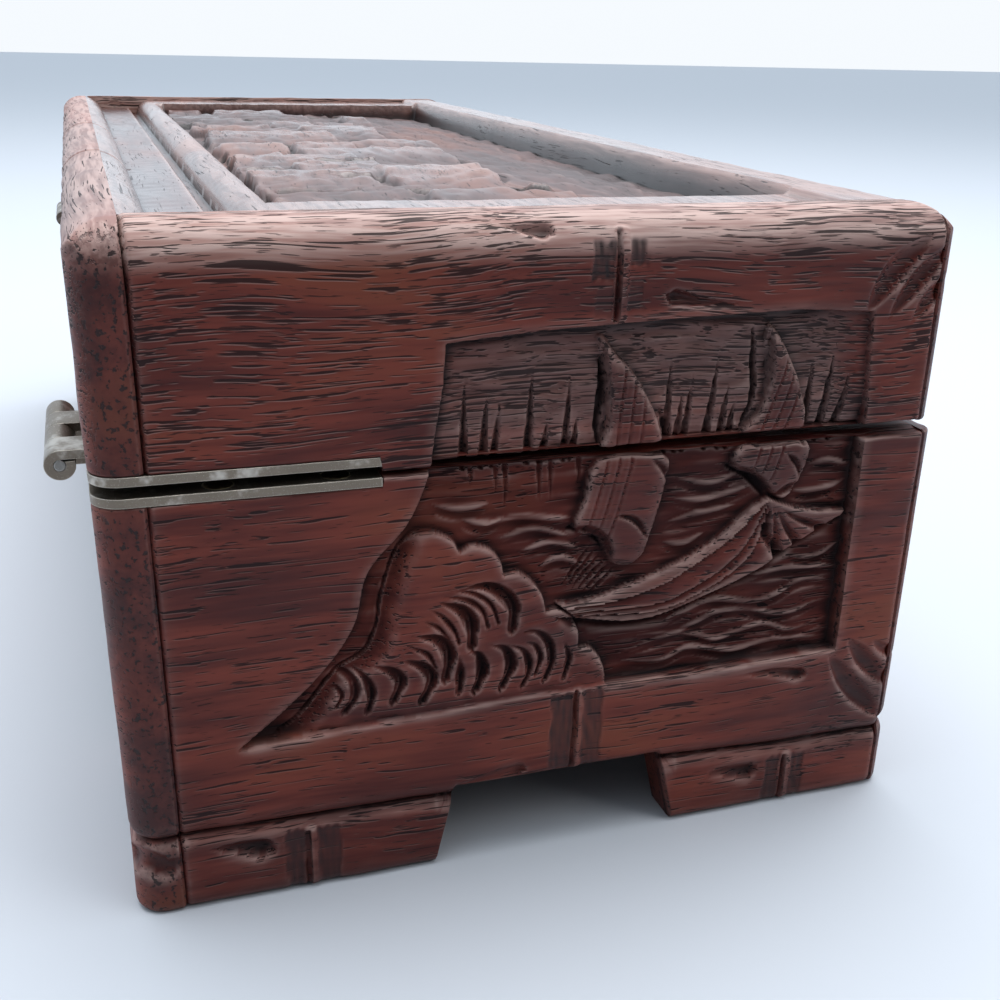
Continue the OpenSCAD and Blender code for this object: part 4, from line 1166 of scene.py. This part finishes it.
def maths(tree, operation, *values, clamp=False):
    """One step of arithmetic on sockets or numbers."""
    return add(tree, "Math", dict(enumerate(values)), operation=operation, use_clamp=clamp).outputs[0]


def times(tree, a, b):
    """The product of two sockets or numbers."""
    return maths(tree, "MULTIPLY", a, b)


def plus(tree, a, b, clamp=False):
    """Their sum, held between 0 and 1 if it is clamped."""
    return maths(tree, "ADD", a, b, clamp=clamp)


def minus(tree, a, b):
    """The first less the second."""
    return maths(tree, "SUBTRACT", a, b)


def mixed(tree, share, a, b, way="MIX"):
    """Colour a turned towards colour b by the share."""
    return add(tree, "Mix", {0: share, 6: a, 7: b}, data_type="RGBA", blend_type=way).outputs[2]


def between(tree, value, low, high, out_low=0.0, out_high=1.0):
    """A soft step of the value between two limits."""
    limits = {"Value": value, "From Min": low, "From Max": high, "To Min": out_low, "To Max": out_high}
    return add(tree, "MapRange", limits, interpolation_type="SMOOTHSTEP").outputs["Result"]


def noise(tree, vector, scales, detail=3.0, roughness=0.55):
    """Noise of so many waves a metre along each axis."""
    place = add(tree, "Mapping", {"Vector": vector, "Scale": scales}).outputs[0]
    settings = {"Vector": place, "Scale": 1.0, "Detail": detail, "Roughness": roughness}
    return add(tree, "TexNoise", settings).outputs["Fac"]


def new_group(name, inputs, outputs):
    """An empty node group with these sockets: name, kind and, for inputs, default."""
    tree = bpy.data.node_groups.new(name, "ShaderNodeTree")
    for label, kind, default in inputs:
        socket = tree.interface.new_socket(label, in_out="INPUT", socket_type="NodeSocket" + kind)
        if default is not None:
            socket.default_value = default
    for label, kind in outputs:
        tree.interface.new_socket(label, in_out="OUTPUT", socket_type="NodeSocket" + kind)
    return tree, tree.nodes.new("NodeGroupInput").outputs, tree.nodes.new("NodeGroupOutput").inputs


# %% [markdown]
# The group draws the open pores first, because colour, roughness and height all need them. A thin pale lip
# just below each one is a painted highlight, for the light that a real opening catches on its lower edge.

# %% The carved hardwood
LONG_CRACKS = (64, 2500, 2500)
SHORT_CRACKS = (210, 3600, 3600)
AMBER = (0.26, 0.082, 0.038, 1)
GROUND_TINT_AND_SHADE = (0.52, 0.50, 0.56, 1)
END_GRAIN_TINT = (0.42, 0.46, 0.54, 1)
IN_PORES = (0.012, 0.005, 0.006, 1)
STAIN = (0.030, 0.019, 0.020, 1)
SHADE_IN_HOLLOWS = (0.008, 0.005, 0.006, 1)


def make_hardwood():
    """The shared group of the wood: place and masks go in, and colour, roughness and height come out."""
    tree, given, result = new_group(
        "carved_hardwood",
        [("Vector", "Vector", None)]
        + [(mask, "Float", 0.0) for mask in ("Wear And Highlight", "Painted Hollow Shade", "Stain", "Ground", "Painted Top Light", "End Grain")]
        + [("Pores", "Float", 0.5), ("Dullness", "Float", 0.5), ("Dark", "Color", (0.045, 0.013, 0.010, 1)),
           ("Mid", "Color", (0.150, 0.042, 0.026, 1)), ("Light", "Color", (0.400, 0.190, 0.130, 1))],
        [("Color", "Color"), ("Roughness", "Float"), ("Height", "Float")])
    wander = add(tree, "TexNoise", {"Vector": given["Vector"], "Scale": 30.0, "Detail": 1.0}).outputs["Color"]
    drift = add(tree, "VectorMath", {0: wander, 1: (0.0, 0.0040, 0.0040)}, operation="MULTIPLY").outputs[0]
    place = add(tree, "VectorMath", {0: given["Vector"], 1: drift}, operation="ADD").outputs[0]
    below = add(tree, "VectorMath", {0: place, 1: (0.0, 0.0, 0.00014)}, operation="ADD").outputs[0]
    along_grain = minus(tree, 1.0, given["End Grain"])

    broad = noise(tree, place, (15, 34, 34), 2)
    figure = noise(tree, place, (18, 240, 240), 3)
    streak = noise(tree, place, (60, 900, 900), 2)
    crowd = times(tree, minus(tree, noise(tree, place, (34, 130, 130), 2), 0.5), 0.36)
    crowd = plus(tree, crowd, times(tree, minus(tree, given["Pores"], 0.5), 0.16))

    def cracks(where, scales, edge, width):
        """One where stretched noise rises above its edge: long thin openings along the grain."""
        value = plus(tree, noise(tree, where, scales, 1), crowd)
        return times(tree, between(tree, value, edge, edge + width), along_grain)

    long_open = cracks(place, LONG_CRACKS, 0.60, 0.06)
    # The lip is the same openings moved a little down: a painted highlight.
    lip = cracks(below, LONG_CRACKS, 0.60, 0.06)
    short_open = cracks(place, SHORT_CRACKS, 0.66, 0.05)
    open_pores = maths(tree, "MAXIMUM", long_open, times(tree, short_open, 0.8))
    lip = times(tree, lip, minus(tree, 1.0, open_pores))
    pit = between(tree, noise(tree, place, (1500, 1100, 1100), 2), 0.56, 0.64)
    pit = times(tree, pit, given["End Grain"])

    tone = plus(tree, times(tree, figure, 0.45), times(tree, streak, 0.2))
    tone = plus(tree, tone, times(tree, broad, 0.7))
    colour = mixed(tree, between(tree, tone, 0.54, 0.84), given["Dark"], given["Mid"])
    amber = between(tree, plus(tree, broad, times(tree, figure, 0.3)), 0.68, 0.86)
    colour = mixed(tree, times(tree, amber, 0.55), colour, AMBER)
    # The sunk ground is greyed and darkened: its own duller tone, with painted shade where the cut is deep.
    colour = mixed(tree, times(tree, given["Ground"], 0.75), colour, GROUND_TINT_AND_SHADE, "MULTIPLY")
    colour = mixed(tree, times(tree, given["End Grain"], 0.6), colour, END_GRAIN_TINT, "MULTIPLY")
    # Painted highlight on the crest and top, rising with height.
    top_light = times(tree, given["Painted Top Light"], between(tree, streak, 0.35, 0.62, 0.45, 1.0))
    # Wear on proud edges, with painted highlight where they face up and on the lid's ground.
    rubbed_and_lit = times(tree, given["Wear And Highlight"], between(tree, streak, 0.25, 0.65, 0.25, 0.6))
    colour = mixed(tree, maths(tree, "MAXIMUM", top_light, rubbed_and_lit), colour, given["Light"])
    # Painted highlight on the pore lips, as strong as the Pores input allows.
    colour = mixed(tree, times(tree, lip, times(tree, given["Pores"], 0.45)), colour, given["Light"])
    shut = times(tree, maths(tree, "MAXIMUM", open_pores, pit), 0.88)
    colour = mixed(tree, shut, colour, IN_PORES)
    stained = times(tree, given["Stain"], 0.9)
    colour = mixed(tree, stained, colour, STAIN)
    # Painted shade in the hollows.
    deep = times(tree, maths(tree, "POWER", given["Painted Hollow Shade"], 0.75), 0.9)
    colour = mixed(tree, deep, colour, SHADE_IN_HOLLOWS)
    tree.links.new(colour, result["Color"])

    rough = plus(tree, times(tree, open_pores, 0.2), between(tree, broad, 0.3, 0.7, -0.05, 0.07))
    rough = plus(tree, rough, times(tree, given["Painted Hollow Shade"], 0.12))
    rough = plus(tree, rough, times(tree, given["Ground"], 0.34))
    rough = plus(tree, rough, given["Dullness"], clamp=True)
    tree.links.new(rough, result["Roughness"])

    height = minus(tree, times(tree, streak, 0.45), open_pores)
    height = minus(tree, height, times(tree, pit, 0.6))
    height = plus(tree, height, times(tree, figure, 0.4))
    tree.links.new(height, result["Height"])
    return tree


hardwood = make_hardwood()


def wood(name, grain, dark, mid, light, top_light=(0.0, 0.0, 0.0), shine=0.4, dullness=0.46,
         pores=(0.4, 0.4, 0.4), relief=0.00016, end_dark=1.0):
    """A wood whose grain runs along that axis. Between two heights it is lifted towards the light colour by the
    last of three numbers, a painted highlight on the crest and top, and its pores, with the painted highlight
    on their lips, have one share below the lid, one on the lid and one where it faces up. The end grain is
    darkened by the last share."""
    material = bpy.data.materials.new(name)
    material.use_nodes = True
    tree = material.node_tree
    shader = tree.nodes["Principled BSDF"]
    coords = add(tree, "TexCoord").outputs
    split = add(tree, "SeparateXYZ", {0: coords["Object"]}).outputs
    turned = add(tree, "CombineXYZ", {i: split[axis] for i, axis in enumerate(GRAIN_AXES[grain])}).outputs[0]
    facing = add(tree, "SeparateXYZ", {0: coords["Normal"]}).outputs
    end_grain = between(tree, maths(tree, "ABSOLUTE", facing[grain.upper()]), 0.55, 0.9, 0.0, end_dark)
    side_pores = between(tree, split["Z"], RIM * MM, LID_Z * MM, pores[0], pores[1])
    upwards = between(tree, facing["Z"], 0.75, 0.95)
    all_pores = add(tree, "Mix", {0: upwards, 2: side_pores, 3: pores[2]}).outputs[0]
    paint = add(tree, "Attribute", attribute_name="carving")
    marks = add(tree, "SeparateColor", {0: paint.outputs["Color"]}).outputs
    low, high, most = top_light
    group = add(tree, "Group", node_tree=hardwood, inputs={
        "Vector": turned, "Wear And Highlight": marks["Green"], "Painted Hollow Shade": marks["Red"], "Stain": marks["Blue"],
        "Ground": paint.outputs["Alpha"], "Painted Top Light": between(tree, split["Z"], low, high, 0.0, most),
        "End Grain": end_grain, "Pores": all_pores, "Dullness": dullness,
        "Dark": dark, "Mid": mid, "Light": light})
    bump = add(tree, "Bump", {"Height": group.outputs["Height"], "Strength": 1.0, "Distance": relief})
    tree.links.new(group.outputs["Color"], shader.inputs["Base Color"])
    tree.links.new(group.outputs["Roughness"], shader.inputs["Roughness"])
    tree.links.new(bump.outputs["Normal"], shader.inputs["Normal"])
    shader.inputs["Specular IOR Level"].default_value = shine
    return material


DARK = (0.090, 0.0165, 0.0140, 1)
MID = (0.300, 0.066, 0.044, 1)
# The light colour serves wear and painted highlight; each wood's tuple of two heights and a share paints
# highlight on its crest and top.
LIGHT = (0.62, 0.43, 0.38, 1)
end_wood = wood("end_wood", "y", DARK, MID, LIGHT, (0.0945, 0.0990, 1.0), shine=0.28, pores=(0.35, 0.7, 0.7))
side_wood = wood("side_wood", "x", DARK, MID, LIGHT, (0.0945, 0.101, 0.7), shine=0.35, pores=(0.35, 0.6, 0.0))
top_wood = wood("top_wood", "x", (0.080, 0.036, 0.032, 1), (0.185, 0.090, 0.078, 1), LIGHT,
                (0.098, 0.101, 0.45), shine=0.9, dullness=0.22, pores=(0.0, 0.0, 0.0), relief=0.00006,
                end_dark=0.2)
panel_wood = wood("panel_wood", "x", (0.050, 0.020, 0.014, 1), (0.130, 0.055, 0.036, 1), LIGHT)

# %% [markdown]
# The hinges are old brass gone brown, brighter where hands and the other leaf have rubbed them. Cloudy
# noise moves the colour between bare and tarnished metal, fine noise roughens it, and the sharp arrises
# are found by comparing the smooth normal of a small bevel with the face's own.

# %% The metals


def old_metal(name, tarnish, bare, arris, roughness, clouds, share):
    """Tarnished metal with brighter arrises and cloudy patches."""
    material = bpy.data.materials.new(name)
    material.use_nodes = True
    tree = material.node_tree
    shader = tree.nodes["Principled BSDF"]
    place = add(tree, "TexCoord").outputs["Object"]
    cloud = noise(tree, place, (clouds,) * 3, 4, 0.6)
    scratch = noise(tree, place, (900, 5200, 5200), 2)
    pits = noise(tree, place, (2600, 2600, 2600), 2)
    bevel = add(tree, "Bevel", {"Radius": 0.00025}, samples=4).outputs[0]
    flat = add(tree, "NewGeometry").outputs["Normal"]
    likeness = add(tree, "VectorMath", {0: bevel, 1: flat}, operation="DOT_PRODUCT").outputs["Value"]
    edge = between(tree, likeness, 0.995, 0.90)
    colour = mixed(tree, between(tree, cloud, 0.62 - share, 0.70 - share / 2), tarnish, bare)
    colour = mixed(tree, between(tree, scratch, 0.60, 0.70, 0.0, 0.5), colour, bare)
    colour = mixed(tree, times(tree, edge, 0.85), colour, arris)
    tree.links.new(colour, shader.inputs["Base Color"])
    shader.inputs["Metallic"].default_value = 0.9
    dull = between(tree, cloud, 0.3, 0.7, roughness + 0.1, roughness - 0.06)
    tree.links.new(dull, shader.inputs["Roughness"])
    bump = add(tree, "Bump", {"Height": plus(tree, pits, scratch), "Strength": 0.4, "Distance": 0.00004,
                              "Normal": bevel})
    tree.links.new(bump.outputs["Normal"], shader.inputs["Normal"])
    return material


leaf_metal = old_metal("hinge_brass", (0.20, 0.165, 0.13, 1), (0.46, 0.42, 0.37, 1), (0.66, 0.60, 0.52, 1),
                       0.40, 140, 0.08)
screw_metal = old_metal("screw_brass", (0.14, 0.10, 0.06, 1), (0.42, 0.33, 0.19, 1), (0.6, 0.5, 0.32, 1),
                        0.38, 260, 0.1)
pin_metal = old_metal("pin_steel", (0.20, 0.19, 0.175, 1), (0.42, 0.41, 0.39, 1), (0.65, 0.63, 0.6, 1),
                      0.34, 260, 0.16)

# %% [markdown]
# Each imported node keeps the slot of the record, and each carved skin takes the wood of its board.

# %% Give every piece its material
FINISHES = {"side_wood": side_wood, "end_wood": end_wood, "top_wood": top_wood, "panel_wood": panel_wood,
            "hinge_brass": leaf_metal, "screw_brass": screw_metal, "pin_steel": pin_metal}
node_slots = {part["node"]: part["material_slot"] for part in frame["record"]["subparts"]}
for node, shown_node in frame["nodes"].items():
    shown_node.data.materials.clear()
    shown_node.data.materials.append(FINISHES[node_slots[node]])
for name, piece in pieces.items():
    slot = "top_wood" if "panel" in name else "end_wood" if "end" in name else "side_wood"
    piece.data.materials.append(FINISHES[slot])
